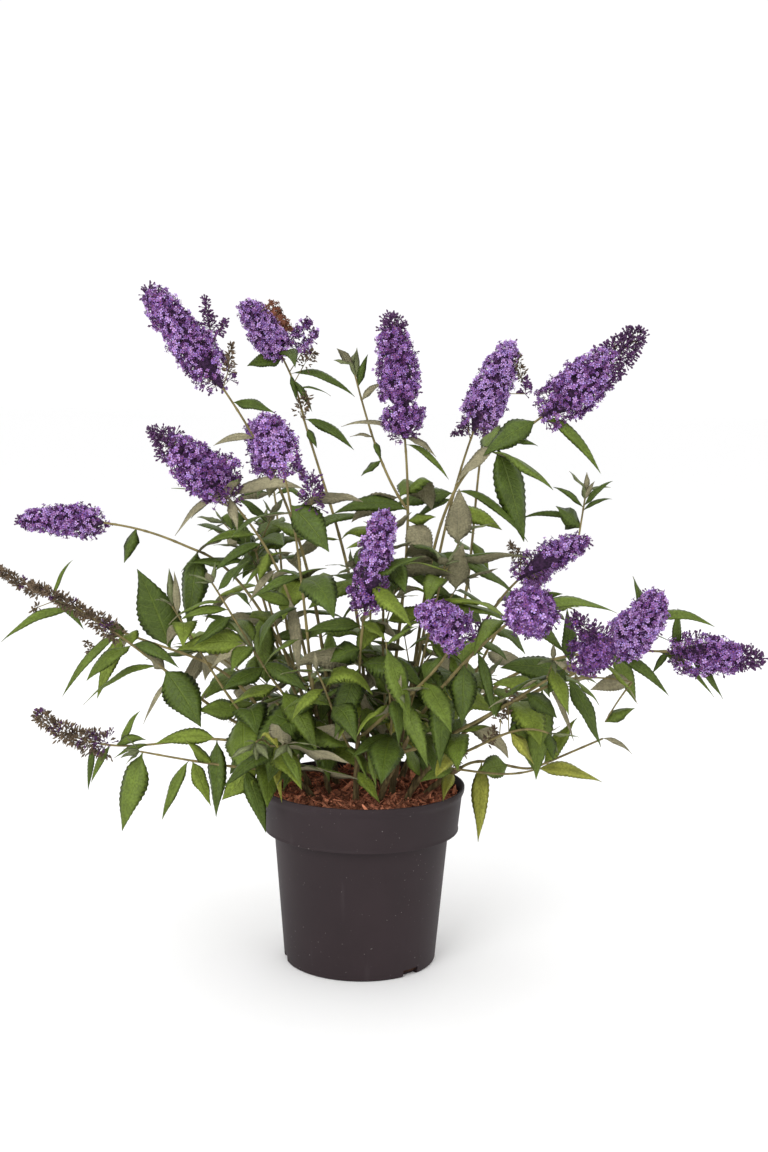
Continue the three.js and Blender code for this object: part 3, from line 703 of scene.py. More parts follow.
def tube(batch, path, start, end, radius_at, sides, step):
    """A closed tube along a path. radius_at takes shares of the stretch and side angles."""
    rings = max(2, math.ceil((end - start) / step) + 1)
    shares = np.linspace(0, 1, rings)
    centres = path.at(lerp(start, end, shares))
    headings = path.heading(lerp(start, end, shares))
    normal = np.cross(headings[0], ASKEW)
    normals = []
    for heading in headings:
        normal = unit(flat_off(normal, heading))
        normals.append(normal)
    normals = np.array(normals)
    binormals = np.cross(headings, normals)
    angles = angles_round(sides)
    radii = radius_at(shares[:, None], angles[None, :]) * np.ones((rings, sides))
    across = np.cos(angles)[None, :, None] * normals[:, None]
    outward = across + np.sin(angles)[None, :, None] * binormals[:, None]
    points = (centres[:, None] + outward * radii[:, :, None]).reshape(-1, 3)
    batch.add(points, ring_quads(rings, sides))
    ends = [np.arange(sides)[::-1], (rings - 1) * sides + np.arange(sides)]
    batch.add_faces(np.stack(ends))


def frames_facing(directions, spins):
    """Frames whose third axis is each direction, spun about it."""
    z = unit(directions)
    x = unit(np.cross(z, np.where(np.abs(z[:, 2:]) > 0.9, [[1.0, 0, 0]], [[0, 0, 1.0]])))
    y = np.cross(z, x)
    c, s = np.cos(spins)[:, None], np.sin(spins)[:, None]
    return np.stack([x * c + y * s, y * c - x * s, z], axis=1)


def frame_facing(direction, spin=0):
    """One such frame, as its three axes."""
    return frames_facing(direction[None], np.array([spin]))[0]


# ---- Finishes ----


class Finish:
    """A node material for one finish. Uniform values sit on the shader's own sockets."""

    def __init__(self, name, roughness, specular=0.3, **sockets):
        self.material = bpy.data.materials.new(name)
        self.material.use_nodes = True
        self.tree = self.material.node_tree
        self.shader = self.tree.nodes["Principled BSDF"]
        self.shader.inputs["Roughness"].default_value = roughness
        self.shader.inputs["Specular IOR Level"].default_value = specular
        for socket, value in sockets.items():
            self.shader.inputs[socket.replace("_", " ")].default_value = value

    def node(self, kind, inputs=(), **settings):
        """Adds a node. inputs maps a socket's name or number to a value or another socket."""
        node = self.tree.nodes.new("ShaderNode" + kind)
        for setting, value in settings.items():
            setattr(node, setting, value)
        for socket, value in dict(inputs).items():
            if isinstance(value, bpy.types.NodeSocket):
                self.tree.links.new(value, node.inputs[socket])
            else:
                node.inputs[socket].default_value = value
        return node

    def places(self):
        """Each point's place on its leaf or floret, across and along."""
        place = self.node("UVMap", uv_map="place").outputs["UV"]
        return self.node("SeparateXYZ", {"Vector": place}).outputs[:2]

    def math(self, operation, *values):
        return self.node("Math", dict(enumerate(values)), operation=operation).outputs[0]

    def ramp(self, value, low, high):
        """0 below low, 1 above high, and smooth between."""
        ends = {"Value": value, "From Min": low, "From Max": high}
        return self.node("MapRange", ends, interpolation_type="SMOOTHSTEP").outputs["Result"]

    def noise(self, scale, detail=4, stretch=None, coords=None):
        where = coords or self.node("TexCoord").outputs["Object"]
        if stretch:
            where = self.node("Mapping", {"Vector": where, "Scale": stretch}).outputs["Vector"]
        sockets = {"Vector": where, "Scale": scale, "Detail": detail}
        return self.node("TexNoise", sockets).outputs["Fac"]

    def blend(self, share, first, second):
        """A colour between two, each a colour or another socket."""
        node = self.node("Mix", data_type="RGBA")
        for socket, value in zip((0, 6, 7), (share, first, second)):
            if isinstance(value, bpy.types.NodeSocket):
                self.tree.links.new(value, node.inputs[socket])
            else:
                node.inputs[socket].default_value = value if socket == 0 else (*value[:3], 1)
        return node.outputs[2]

    def colour(self, socket):
        self.tree.links.new(socket, self.shader.inputs["Base Color"])

    def relief(self, height, depth, strength=1.0):
        sockets = {"Height": height, "Distance": depth, "Strength": strength}
        bump = self.node("Bump", sockets)
        self.tree.links.new(bump.outputs["Normal"], self.shader.inputs["Normal"])


def shade(colour, factor):
    return tuple(channel * factor for channel in colour)


def mottled(name, colour, roughness, scale, depth, spread=0.35, stretch=None, **sockets):
    """A finish whose colour wanders about one tone, with a fine relief."""
    finish = Finish(name, roughness, **sockets)
    wander = finish.ramp(finish.noise(scale, stretch=stretch), 0.3, 0.7)
    dark, light = shade(colour, 1 - spread), shade(colour, 1 + spread)
    finish.colour(finish.blend(wander, dark, light))
    finish.relief(finish.noise(scale * 4, stretch=stretch), depth)
    return finish.material


def leaf_finish(name, blade, vein, roughness, vein_share=0.34):
    """A leaf's skin: its midrib, side veins and the mottled quilting between them, with painted shade
    in the quilting's hollows.
    """
    finish = Finish(name, roughness, specular=0.25)
    across, along = finish.places()
    off_rib = finish.math("ABSOLUTE", across)
    midrib = finish.math("SUBTRACT", 1.0, finish.ramp(off_rib, 0.02, 0.07))
    rows, sweep = finish.math("MULTIPLY", along, 11.0), finish.math("MULTIPLY", off_rib, 1.5)
    side_vein = finish.math("PINGPONG", finish.math("SUBTRACT", rows, sweep), 0.5)
    veins = finish.math("MULTIPLY", finish.ramp(side_vein, 0.36, 0.5), 0.5)
    lines = finish.math("MAXIMUM", midrib, veins)
    wander = finish.ramp(finish.noise(55, detail=3), 0.25, 0.75)
    skin = finish.blend(wander, shade(blade, 0.76), shade(blade, 1.2))
    quilt = finish.noise(430, detail=3)
    # Painted shade: the skin darkens where the quilting's relief sinks.
    shaded_hollows = finish.math("SUBTRACT", 1.0, finish.ramp(quilt, 0.36, 0.62))
    hollow_shade = finish.math("MULTIPLY", shaded_hollows, 0.5)
    skin = finish.blend(hollow_shade, skin, shade(blade, 0.45))
    finish.colour(finish.blend(finish.math("MULTIPLY", lines, vein_share), skin, vein))
    swell = finish.math("SUBTRACT", finish.math("MULTIPLY", quilt, 1.3), lines)
    finish.relief(swell, 0.8 * MM, 0.8)
    return finish.material


def floret_finish(name, lobe, tube_colour, throat):
    """A floret's skin: a dark tube, a small warm eye and lobes with paler rims, painted shade darkening
    them towards the eye
    """
    finish = Finish(name, 0.6, specular=0.2)
    off_eye, _ = finish.places()
    wander = finish.ramp(finish.noise(80, detail=2), 0.3, 0.7)
    warmth = finish.ramp(finish.noise(190, detail=2), 0.35, 0.65)
    warm, cool = np.array(lobe) * (1.14, 0.96, 0.88), np.array(lobe) * (0.84, 0.96, 1.08)
    skin = finish.blend(warmth, cool, warm)
    skin = finish.blend(finish.math("MULTIPLY", wander, 0.4), skin, shade(lobe, 1.5))
    # Painted shade: the lobes darken towards the eye, deep in the floret's cup.
    skin = finish.blend(finish.ramp(off_eye, 0.12, 0.5), shade(lobe, 0.62), skin)
    skin = finish.blend(finish.ramp(off_eye, 0.05, 0.12), throat, skin)
    finish.colour(finish.blend(finish.ramp(off_eye, -0.12, -0.04), tube_colour, skin))
    return finish.material


SCUFF, DUST = (0.085, 0.07, 0.075), (0.36, 0.32, 0.31)
DAMP_SOIL = (0.06, 0.03, 0.02)


def plastic_finish(colour):
    """Matt moulded plastic with faint scuffs and specks of dried dust."""
    finish = Finish("pot_plastic", 0.6, specular=0.22)
    wander = finish.ramp(finish.noise(9, detail=6), 0.3, 0.75)
    skin = finish.blend(wander, shade(colour, 0.88), shade(colour, 1.16))
    scuffs = finish.ramp(finish.noise(46, detail=8, stretch=(1, 1, 0.16)), 0.6, 0.78)
    skin = finish.blend(finish.math("MULTIPLY", scuffs, 0.22), skin, SCUFF)
    specks = finish.ramp(finish.noise(420, detail=1), 0.765, 0.79)
    skin = finish.blend(finish.math("MULTIPLY", specks, 0.4), skin, DUST)
    finish.colour(skin)
    finish.relief(finish.noise(1500, detail=2), 0.12 * MM, 0.5)
    return finish.material


def bark_finish(colour):
    """Peeling bark: long fibres, with painted shade darkening the cracks."""
    finish = Finish("cane_bark", 0.88, specular=0.15)
    fibres = finish.noise(260, detail=6, stretch=(1, 1, 0.09))
    # Painted shade: the colour darkens where the fibres' relief sinks into cracks.
    skin = finish.blend(finish.ramp(fibres, 0.32, 0.68), shade(colour, 0.4), shade(colour, 1.25))
    finish.colour(skin)
    finish.relief(fibres, 0.8 * MM)
    return finish.material


# ---- Sizes and colours that a user would change ----


def length(name, description, value):
    return FloatProperty(name=name, description=description, default=value, unit="LENGTH", precision=4)


def share(name, description, value):
    return FloatProperty(name=name, description=description, default=value, min=0, subtype="FACTOR")


def angle(name, description, degrees):
    value = math.radians(degrees)
    return FloatProperty(name=name, description=description, default=value, subtype="ANGLE")


def tone(name, description, value):
    return FloatVectorProperty(
        name=name, description=description, default=value, size=3, min=0, max=1, subtype="COLOR"
    )


_, POT_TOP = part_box("pot")


class PotSizes(bpy.types.PropertyGroup):
    height: length("Height", "From the underside to the rim", POT_TOP.z)
    lip_radius: length("Lip radius", "The widest point, at the rim", POT_TOP.x)
    lip_height: length("Lip height", "The flared lip above the collar", 9 * MM)
    collar_top_radius: length("Collar top", "Radius under the lip", 112.2 * MM)
    collar_foot_radius: length("Collar foot", "Radius at the collar's lower edge", 108.3 * MM)
    collar_height: length("Collar height", "The straight band below the rim", 50 * MM)
    wall_top_radius: length("Wall top", "Radius where the wall meets the collar", 98 * MM)
    base_radius: length("Base radius", "Radius of the underside", 85 * MM)
    wall: length("Wall", "Thickness of the plastic", 2 * MM)
    colour: tone("Plastic", "Colour of the moulded plastic", (0.0245, 0.0155, 0.018))


class MulchSizes(bpy.types.PropertyGroup):
    relief: length("Relief", "How uneven the mulch lies", 3.5 * MM)
    shreds: IntProperty(name="Shreds", description="Number of bark shreds", default=5000, min=0)
    shred_length: length("Shred length", "A middling shred of bark", 15 * MM)
    colour: tone("Bark", "Colour of fresh shredded bark", (0.36, 0.14, 0.08))


class CaneSizes(bpy.types.PropertyGroup):
    root_radius: length("Root radius", "Radius just above the root flare", 3.5 * MM)
    tip_radius: length("Tip radius", "Radius where the shoots carry on", 2.3 * MM)
    relief: share("Relief", "Depth of the bark's ridges as a share of the radius", 0.12)
    colour: tone("Bark", "Colour of the canes", (0.16, 0.12, 0.055))


class LeafSizes(bpy.types.PropertyGroup):
    longest: length("Longest", "A leaf low on a shoot", 122 * MM)
    shortest: length("Shortest", "A leaf under a shoot's tip", 70 * MM)
    slimness: share("Slimness", "Width for each unit of length", 0.38)
    thickness: length("Thickness", "Thickness of a leaf", 0.5 * MM)
    flowering_internode: length("Flowering internode", "Between pairs, flowering", 50 * MM)
    leafy_internode: length("Leafy internode", "Between pairs, leafy", 34 * MM)
    flowering_branching: share("Flowering twigs", "How many axils hold a twig", 0.06)
    leafy_branching: share("Leafy twigs", "How many axils hold a twig", 0.2)
    deep: tone("Deep green", "Upper skin of most old leaves", (0.076, 0.116, 0.0155))
    middle: tone("Middle green", "Upper skin of the rest", (0.124, 0.177, 0.0235))
    fresh: tone("Fresh green", "Upper skin of newer leaves", (0.188, 0.25, 0.032))
    yellowing: tone("Yellowing", "Upper skin of ageing low leaves", (0.33, 0.34, 0.055))
    young: tone("Young", "Felted upper skin of the newest leaves", (0.2, 0.225, 0.105))
    felt: tone("Felt", "Grey felt of the undersides", (0.33, 0.3, 0.185))
    stem: tone("Stem", "Skin of green stems and twigs", (0.2, 0.16, 0.064))


class FlowerSizes(bpy.types.PropertyGroup):
    floret: length("Floret", "Across one open floret", 5.3 * MM)
    cluster_spacing: length("Spacing", "Between the small clusters of a head", 11.5 * MM)
    fullness: share("Fullness", "Width of each head as a share of its plan", 0.96)
    # Painted light: the pale and deep violets are lit and shaded copies of the violet.
    pale: tone("Pale violet", "Florets that stand in the light", (0.56, 0.36, 0.76))
    violet: tone("Violet", "Most florets", (0.335, 0.168, 0.49))
    deep: tone("Deep violet", "Older florets", (0.175, 0.063, 0.26))
    tube: tone("Tube", "Tubes of the florets", (0.12, 0.04, 0.13))
    throat: tone("Throat", "Eye of a floret", (0.5, 0.16, 0.12))
    bud: tone("Bud", "Closed florets", (0.085, 0.03, 0.1))
    rust: tone("Rust", "Florets that have gone over", (0.15, 0.055, 0.03))
    capsule: tone("Capsule", "Seed capsules of spent heads", (0.125, 0.088, 0.055))
    core: tone("Core", "The shaded middle of a head", (0.05, 0.02, 0.06))


class StageSizes(bpy.types.PropertyGroup):
    lens: FloatProperty(name="Lens", description="Focal length", default=50, unit="CAMERA")
    pitch: angle("Pitch", "How far the camera looks down", 7)
    roll: angle("Roll", "How far it leans", 0.88)
    distance: length("Distance", "From the camera's plane to the origin", 1.82)
    aside: length("Aside", "How far right of the pot's middle the camera looks", 27.7 * MM)
    height: length("Height", "How high over the pot's foot it looks", 430.3 * MM)
    floor: tone("Floor", "Colour of the floor", (0.97, 0.97, 0.97))
    sky: FloatProperty(name="Sky", description="Strength of the even light", default=1.03)


# ---- Pot ----

# Bearings of the drain notches in the foot of the wall, and their width, height and depth.
DRAIN = {"bearings": (-48, 72, -168), "width": 21 * MM, "height": 8 * MM, "depth": 14 * MM}
FLOOR_TOP = 3 * MM
ROUND = 160  # points round the pot
SHARP = 42  # degrees, above which an edge shows


def rounded(corner, before, after, radius, steps=4):
    """Points of an arc that rounds off a profile's corner."""
    corner, before, after = map(np.array, (corner, before, after))
    towards, onward = unit(before - corner), unit(after - corner)
    t = np.linspace(0, 1, steps + 1)[:, None]
    start, end = corner + towards * radius, corner + onward * radius
    return list((1 - t) ** 2 * start + 2 * t * (1 - t) * corner + t**2 * end)


def pot_profile(sizes):
    """The wall's section, up the outside and down the inside, as radii and heights."""
    foot = sizes.height - sizes.collar_height
    lip = sizes.height - sizes.lip_height
    wall = sizes.wall
    corners = [
        # radius, height and rounding
        (0, 0, 0),
        (sizes.base_radius, 0, 2.5 * MM),
        (sizes.wall_top_radius, foot, 0.8 * MM),
        (sizes.collar_foot_radius + 0.7 * MM, foot, 0.5 * MM),
        (sizes.collar_foot_radius + 0.6 * MM, foot + 1.6 * MM, 0.6 * MM),
        (sizes.collar_foot_radius + 0.1 * MM, foot + 3 * MM, 1.2 * MM),
        (sizes.collar_top_radius, lip - wall, 2.4 * MM),
        (sizes.lip_radius, lip + 2 * wall, 2 * MM),
        (sizes.lip_radius, sizes.height, 0.9 * MM),
        (sizes.lip_radius - wall, sizes.height, 0.8 * MM),
        (sizes.collar_top_radius - wall, lip, 1.5 * MM),
        (sizes.collar_foot_radius - wall, foot + wall, 1.0 * MM),
        (sizes.wall_top_radius - wall, foot + wall, 1.0 * MM),
        (sizes.base_radius - wall, FLOOR_TOP, 1.5 * MM),
        (0, FLOOR_TOP, 0),
    ]
    points = []
    for i, (radius, height, rounding) in enumerate(corners):
        if rounding:
            points += rounded((radius, height), corners[i - 1][:2], corners[i + 1][:2], rounding)
        else:
            points.append(np.array([radius, height]))
    return np.array(points)


def lathe(profile, segments):
    """A closed solid of revolution. The profile's first and last points lie on the axis."""
    batch = Batch()
    angles = angles_round(segments)
    radii, heights = profile[1:-1, :1], profile[1:-1, 1:]
    across = [radii * np.cos(angles), radii * np.sin(angles)]
    rings = np.stack([*across, np.repeat(heights, segments, axis=1)], -1).reshape(-1, 3)
    ends = np.array([[0, 0, profile[0, 1]], [0, 0, profile[-1, 1]]])
    batch.add(np.concatenate([rings, ends]), ring_quads(len(radii), segments))
    batch.add_faces(flipped(fan(len(rings), 0, segments)))
    batch.add_faces(fan(len(rings) + 1, len(rings) - segments, segments))
    return batch


class BUSH_OT_pot(bpy.types.Operator):
    """Turns the nursery pot, cuts its drain notches and gives it its plastic"""

    bl_idname = "bush.pot"
    bl_label = "Pot"

    def execute(self, context):
        sizes = context.scene.bush_pot
        batch = lathe(pot_profile(sizes), ROUND)
        pot = batch.build("nursery_pot", [plastic_finish(sizes.colour)])
        cutters = Batch()
        for bearing in DRAIN["bearings"]:
            block = bmesh.new()
            turn = Matrix.Rotation(math.radians(bearing), 4, "Z")
            size = Matrix.Diagonal((DRAIN["depth"], DRAIN["width"], 2 * DRAIN["height"], 1))
            out = Matrix.Translation((sizes.base_radius, 0, 0))
            bmesh.ops.create_cube(block, size=1, matrix=turn @ out @ size)
            points = np.array([vertex.co[:] for vertex in block.verts])
            cutters.add(points, np.array([[v.index for v in face.verts] for face in block.faces]))
            block.free()
        cutter = cutters.build("drain_cutters", [])
        cut = pot.modifiers.new("drain", "BOOLEAN")
        cut.operation, cut.object, cut.solver = "DIFFERENCE", cutter, "EXACT"
        context.view_layer.objects.active = pot
        bpy.ops.object.modifier_apply(modifier=cut.name)
        bpy.data.objects.remove(cutter)
        sharp = pot.modifiers.new("edges", "EDGE_SPLIT")
        sharp.split_angle = math.radians(SHARP)
        keep(pot, "pot_plastic", "pot")
        return {"FINISHED"}


# ---- Mulch ----


# How far the soil stays off the wall and sinks towards it, how thick its wide top layer is,
# and the heights of its section's lower corners.
SOIL = {"off_wall": 0.6 * MM, "sink": 3 * MM, "layer": 20 * MM, "waist": 148 * MM, "foot": 4 * MM}
MULCH_RINGS, MULCH_AROUND = 40, 120
SHRED_TONES = {
    # brightness and share of the shreds of each tone
    "shreds_red": (1.0, 0.45),
    "shreds_dark": (0.42, 0.33),
    "shreds_pale": (1.9, 0.22),
}
# A shred at three places along it: the place, how wide it is there, and how far it humps.
SHRED = ((-0.5, 0.3, 0), (0, 1, 0.35), (0.5, 0.25, 0))
SHRED_FLATS = ((0, 2, 3, 1), (2, 4, 5, 3), (6, 7, 9, 8), (8, 9, 11, 10))
SHRED_SIDES = ((0, 6, 8, 2), (2, 8, 10, 4), (1, 3, 9, 7), (3, 5, 11, 9), (0, 1, 7, 6), (4, 10, 11, 5))


def mulch_height(x, y, relief):
    """Height of the mulch over its mean level, by a few crossed waves."""
    waves = np.sin(x * 190 + 1.3) * np.cos(y * 170 - 0.4) + 0.6 * np.sin(x * 420 - y * 390 + 2.0)
    return relief * (0.35 * waves + 0.25 * np.sin(x * 83 + y * 121))


class BUSH_OT_mulch(bpy.types.Operator):
    """Fills the pot with soil and strews shredded bark over it"""

    bl_idname = "bush.mulch"
    bl_label = "Bark mulch"

    def execute(self, context):
        sizes, pot = context.scene.bush_mulch, context.scene.bush_pot
        surface = SOIL_SURFACE * MM
        rim = pot.collar_top_radius - pot.wall - SOIL["off_wall"]
        rings, around = MULCH_RINGS, MULCH_AROUND
        shares = np.linspace(0, 1, rings)[1:, None]
        angles = angles_round(around)[None]
        radii = rim * shares
        x, y = radii * np.cos(angles), radii * np.sin(angles)
        z = surface + mulch_height(x, y, sizes.relief) - SOIL["sink"] * shares**6
        top = np.stack([x, y, z], -1).reshape(-1, 3)
        shaft = [
            (rim - 1.4 * MM, surface - SOIL["layer"]),
            (pot.wall_top_radius - 3.4 * MM, SOIL["waist"]),
            (pot.base_radius - 3 * MM, SOIL["foot"]),
        ]
        circle = np.stack([np.cos(angles[0]), np.sin(angles[0])], -1)
        rows = [np.column_stack([radius * circle, np.full(around, height)]) for radius, height in shaft]
        points = np.concatenate([top, *rows, [[0, 0, surface], [0, 0, SOIL["foot"]]]])
        levels = rings - 1 + len(shaft)
        soil = Batch()
        soil.add(points, flipped(ring_quads(levels, around)))
        soil.add_faces(fan(levels * around, 0, around))
        soil.add_faces(flipped(fan(levels * around + 1, (levels - 1) * around, around)))
        earth = mottled("damp_soil", DAMP_SOIL, 0.95, 160, 1.5 * MM, specular=0.1)
        keep(soil.build("soil_fill", [earth]), "bark_mulch", "soil")

        random = np.random.default_rng(SEEDS["mulch"])
        for name, (bright, part) in SHRED_TONES.items():
            colour = shade(sizes.colour, bright)
            material = mottled(name, colour, 0.9, 240, 0.5 * MM, spread=0.4, specular=0.12)
            shreds = strewn_shreds(int(sizes.shreds * part), sizes, rim, random)
            keep(shreds.build(name, [material], smooth=False), "bark_mulch")
        return {"FINISHED"}


def strewn_shreds(count, sizes, rim, random):
    """Bent slivers of bark that lie on the mulch at all angles."""
    batch = Batch()
    reach = (rim - 4 * MM) * np.sqrt(random.random(count))
    bearing = random.random(count) * 2 * math.pi
    x, y = reach * np.cos(bearing), reach * np.sin(bearing)
    z = SOIL_SURFACE * MM + mulch_height(x, y, sizes.relief) + random.random(count) * 2.5 * MM
    lengths = sizes.shred_length * np.exp(0.5 * random.standard_normal(count)).clip(0.35, 2.4)
    widths = lengths * (0.13 + 0.26 * random.random(count))
    heading = random.random(count) * 2 * math.pi
    slope = 0.35 * random.standard_normal(count)
    flat = np.cos(slope)
    along = np.stack([np.cos(heading) * flat, np.sin(heading) * flat, np.sin(slope)], -1)
    roll = 0.6 * random.standard_normal(count)
    side = unit(np.cross(along, UP))
    lift = np.cross(side, along)
    across = side * np.cos(roll)[:, None] + lift * np.sin(roll)[:, None]
    over = np.cross(along, across)
    top, bottom = [], []
    for place, spread, hump in SHRED:
        middle = np.stack([x, y, z], -1) + along * (place * lengths)[:, None]
        middle += over * (hump * widths * random.uniform(-0.6, 1.2, count))[:, None]
        for sign in (-1, 1):
            edge = across * (0.5 * sign * spread * widths)[:, None]
            top.append(middle + edge + over * 0.35 * MM)
            bottom.append(middle + edge * 0.8 - over * 0.35 * MM)
    points = np.stack(top + bottom, axis=1)
    inside = np.hypot(points[..., 0], points[..., 1]).max(axis=1) < rim - 1 * MM
    points = points[inside]
    shape = np.array(SHRED_FLATS + SHRED_SIDES)
    faces = shape[None] + np.arange(len(points))[:, None, None] * points.shape[1]
    batch.add(points.reshape(-1, 3), faces.reshape(-1, 4))
    return batch


# ---- Canes ----


class BUSH_OT_canes(bpy.types.Operator):
    """Raises the canes from the mulch, with ridged and peeling bark"""

    bl_idname = "bush.canes"
    bl_label = "Canes"

    def execute(self, context):
        sizes = context.scene.bush_canes
        batch = Batch()
        for index, plan in enumerate(CANES.values()):
            path = cane_path(*plan)
            phase = 2.1 * index

            def radius_at(along, angle):
                radius = lerp(sizes.root_radius, sizes.tip_radius, along)
                flare = lerp(1.35, 1, np.minimum(1, along / 0.1))
                ridges = np.sin(5 * angle + 9 * along + phase) * np.sin(23 * along + 3 * angle)
                joint = np.exp(-(((along * 4.2 + 0.3 * phase) % 1 - 0.5) ** 2) / 0.004)
                return radius * flare * (1 + sizes.relief * ridges + 0.16 * joint)

            tube(batch, path, 0, path.length, radius_at, 14, 1.6 * MM)
        canes = batch.build("canes", [bark_finish(sizes.colour)])
        keep(canes, "cane_bark", *CANES)
        return {"FINISHED"}


# ---- Leaves and stems ----

GRID = 4.5 * MM  # the cell that a leaf or head fills
BLADE = {
    # shares of a leaf's length, and half its width there as a share of the widest
    "at": (0, 0.05, 0.1, 0.17, 0.25, 0.33, 0.41, 0.49, 0.57, 0.65, 0.73, 0.8, 0.87, 0.94, 1),
    "half": (0.05, 0.07, 0.3, 0.64, 0.88, 0.98, 1, 0.95, 0.85, 0.72, 0.56, 0.41, 0.26, 0.12, 0.01),
    "across": (-1, -0.5, 0, 0.5, 1),
    "camber": (-0.16, 0.06, -0.06, 0.06, -0.16),
    "rows": 31,
    "tooth": 0.042,
}
LONG_LEAF = 44 * MM  # shorter ones have a third of the rows

OUTWARD = np.array([0, -0.75, 0.66])  # the way that the leaves which stand out face
# How high those leaves arch for their length, slender ones and ones of this breadth or more.
ARCH, ARCH_BREADTH = (0.38, 0.12), 0.4

# How low the other leaves hang: at each bearing, the height under the crown at the pot's lip
# and how fast it rises from there outwards.
UNDERSIDE = (
    (-180, -140, -105, -50, 0, 60, 120, 180),
    (205, 205, 232, 236, 238, 215, 200, 205),
    (0.05, 0.05, 0.15, 0.3, 0.4, 0.25, 0.1, 0.05),
)


# From how far outside the lip it rises, and how far outside the lip the leaves still stay
# this high above the rim.
RISE_FROM, OVER_POT, ABOVE_RIM = 30 * MM, 10 * MM, 22 * MM
# How far the leaves stay off the lip, from inside it, and off the soil.
OFF_LIP, OFF_MOUTH, OFF_SOIL = 3 * MM, 6 * MM, 4 * MM


class Space:
    """Which cells of the crown are taken, and by what."""

    def __init__(self, low, high):
        self.low, self.high = np.array(low) - 0.01, np.array(high) + 0.01
        counts = np.ceil((self.high - self.low) / GRID).astype(int) + 1
        self.cells = np.zeros(counts, np.int32)

    def _cells(self, points):
        return tuple(np.floor((points - self.low) / GRID).astype(int).T)

    def take(self, points, owner):
        inside = np.all((points > self.low) & (points < self.high), axis=1)
        self.cells[self._cells(points[inside])] = owner

    def is_free(self, points, *owners):
        if not np.all((points > self.low) & (points < self.high)):
            return False
        found = self.cells[self._cells(points)]
        return bool(np.all((found == 0) | np.isin(found, owners)))


def clear_of_pot(points, pot):
    """True where nothing would touch the pot's rim or lie in the mulch."""
    x, y, z = points.T
    reach = np.hypot(x, y)
    over_rim = z > pot.height + OFF_LIP
    outside = reach > pot.lip_radius + OFF_LIP
    over_soil = z > SOIL_SURFACE * MM + OFF_SOIL
    in_mouth = (reach < pot.lip_radius - OFF_MOUTH) & over_soil
    return bool(np.all(over_rim | outside | in_mouth))


def above_underside(points, pot):
    """True where a leaf hangs no lower than the crown does at its bearing."""
    x, y, z = points.T
    reach, bearing = np.hypot(x, y), np.degrees(np.arctan2(y, x))
    bearings, heights, rises = UNDERSIDE
    outside = np.maximum(0, reach - pot.lip_radius - RISE_FROM)
    low = np.interp(bearing, bearings, heights) * MM + np.interp(bearing, bearings, rises) * outside
    over_pot = reach < pot.lip_radius + OVER_POT
    low = np.where(over_pot, pot.height + ABOVE_RIM, low)
    return bool(np.all(z > low))


WIDEST, CLOSING = 0.3, 0.9  # where a head is widest, and where its end begins to close


def head_swell(place, blunt):
    """A head's radius at each share from its foot, as a share of its half width."""
    rise = 1 - (1 - np.minimum(1, place / WIDEST)) ** 2
    fall = np.maximum(0, (place - WIDEST) / (1 - WIDEST))
    taper = 1 - lerp(0.8, 0.42, blunt) * fall ** lerp(1.1, 1.8, blunt)
    close = np.sqrt(np.clip(1 - ((place - CLOSING) / 0.1).clip(0, 1) ** 2, 0.06, 1))
    return lerp(0.7, 1, rise) * taper * close


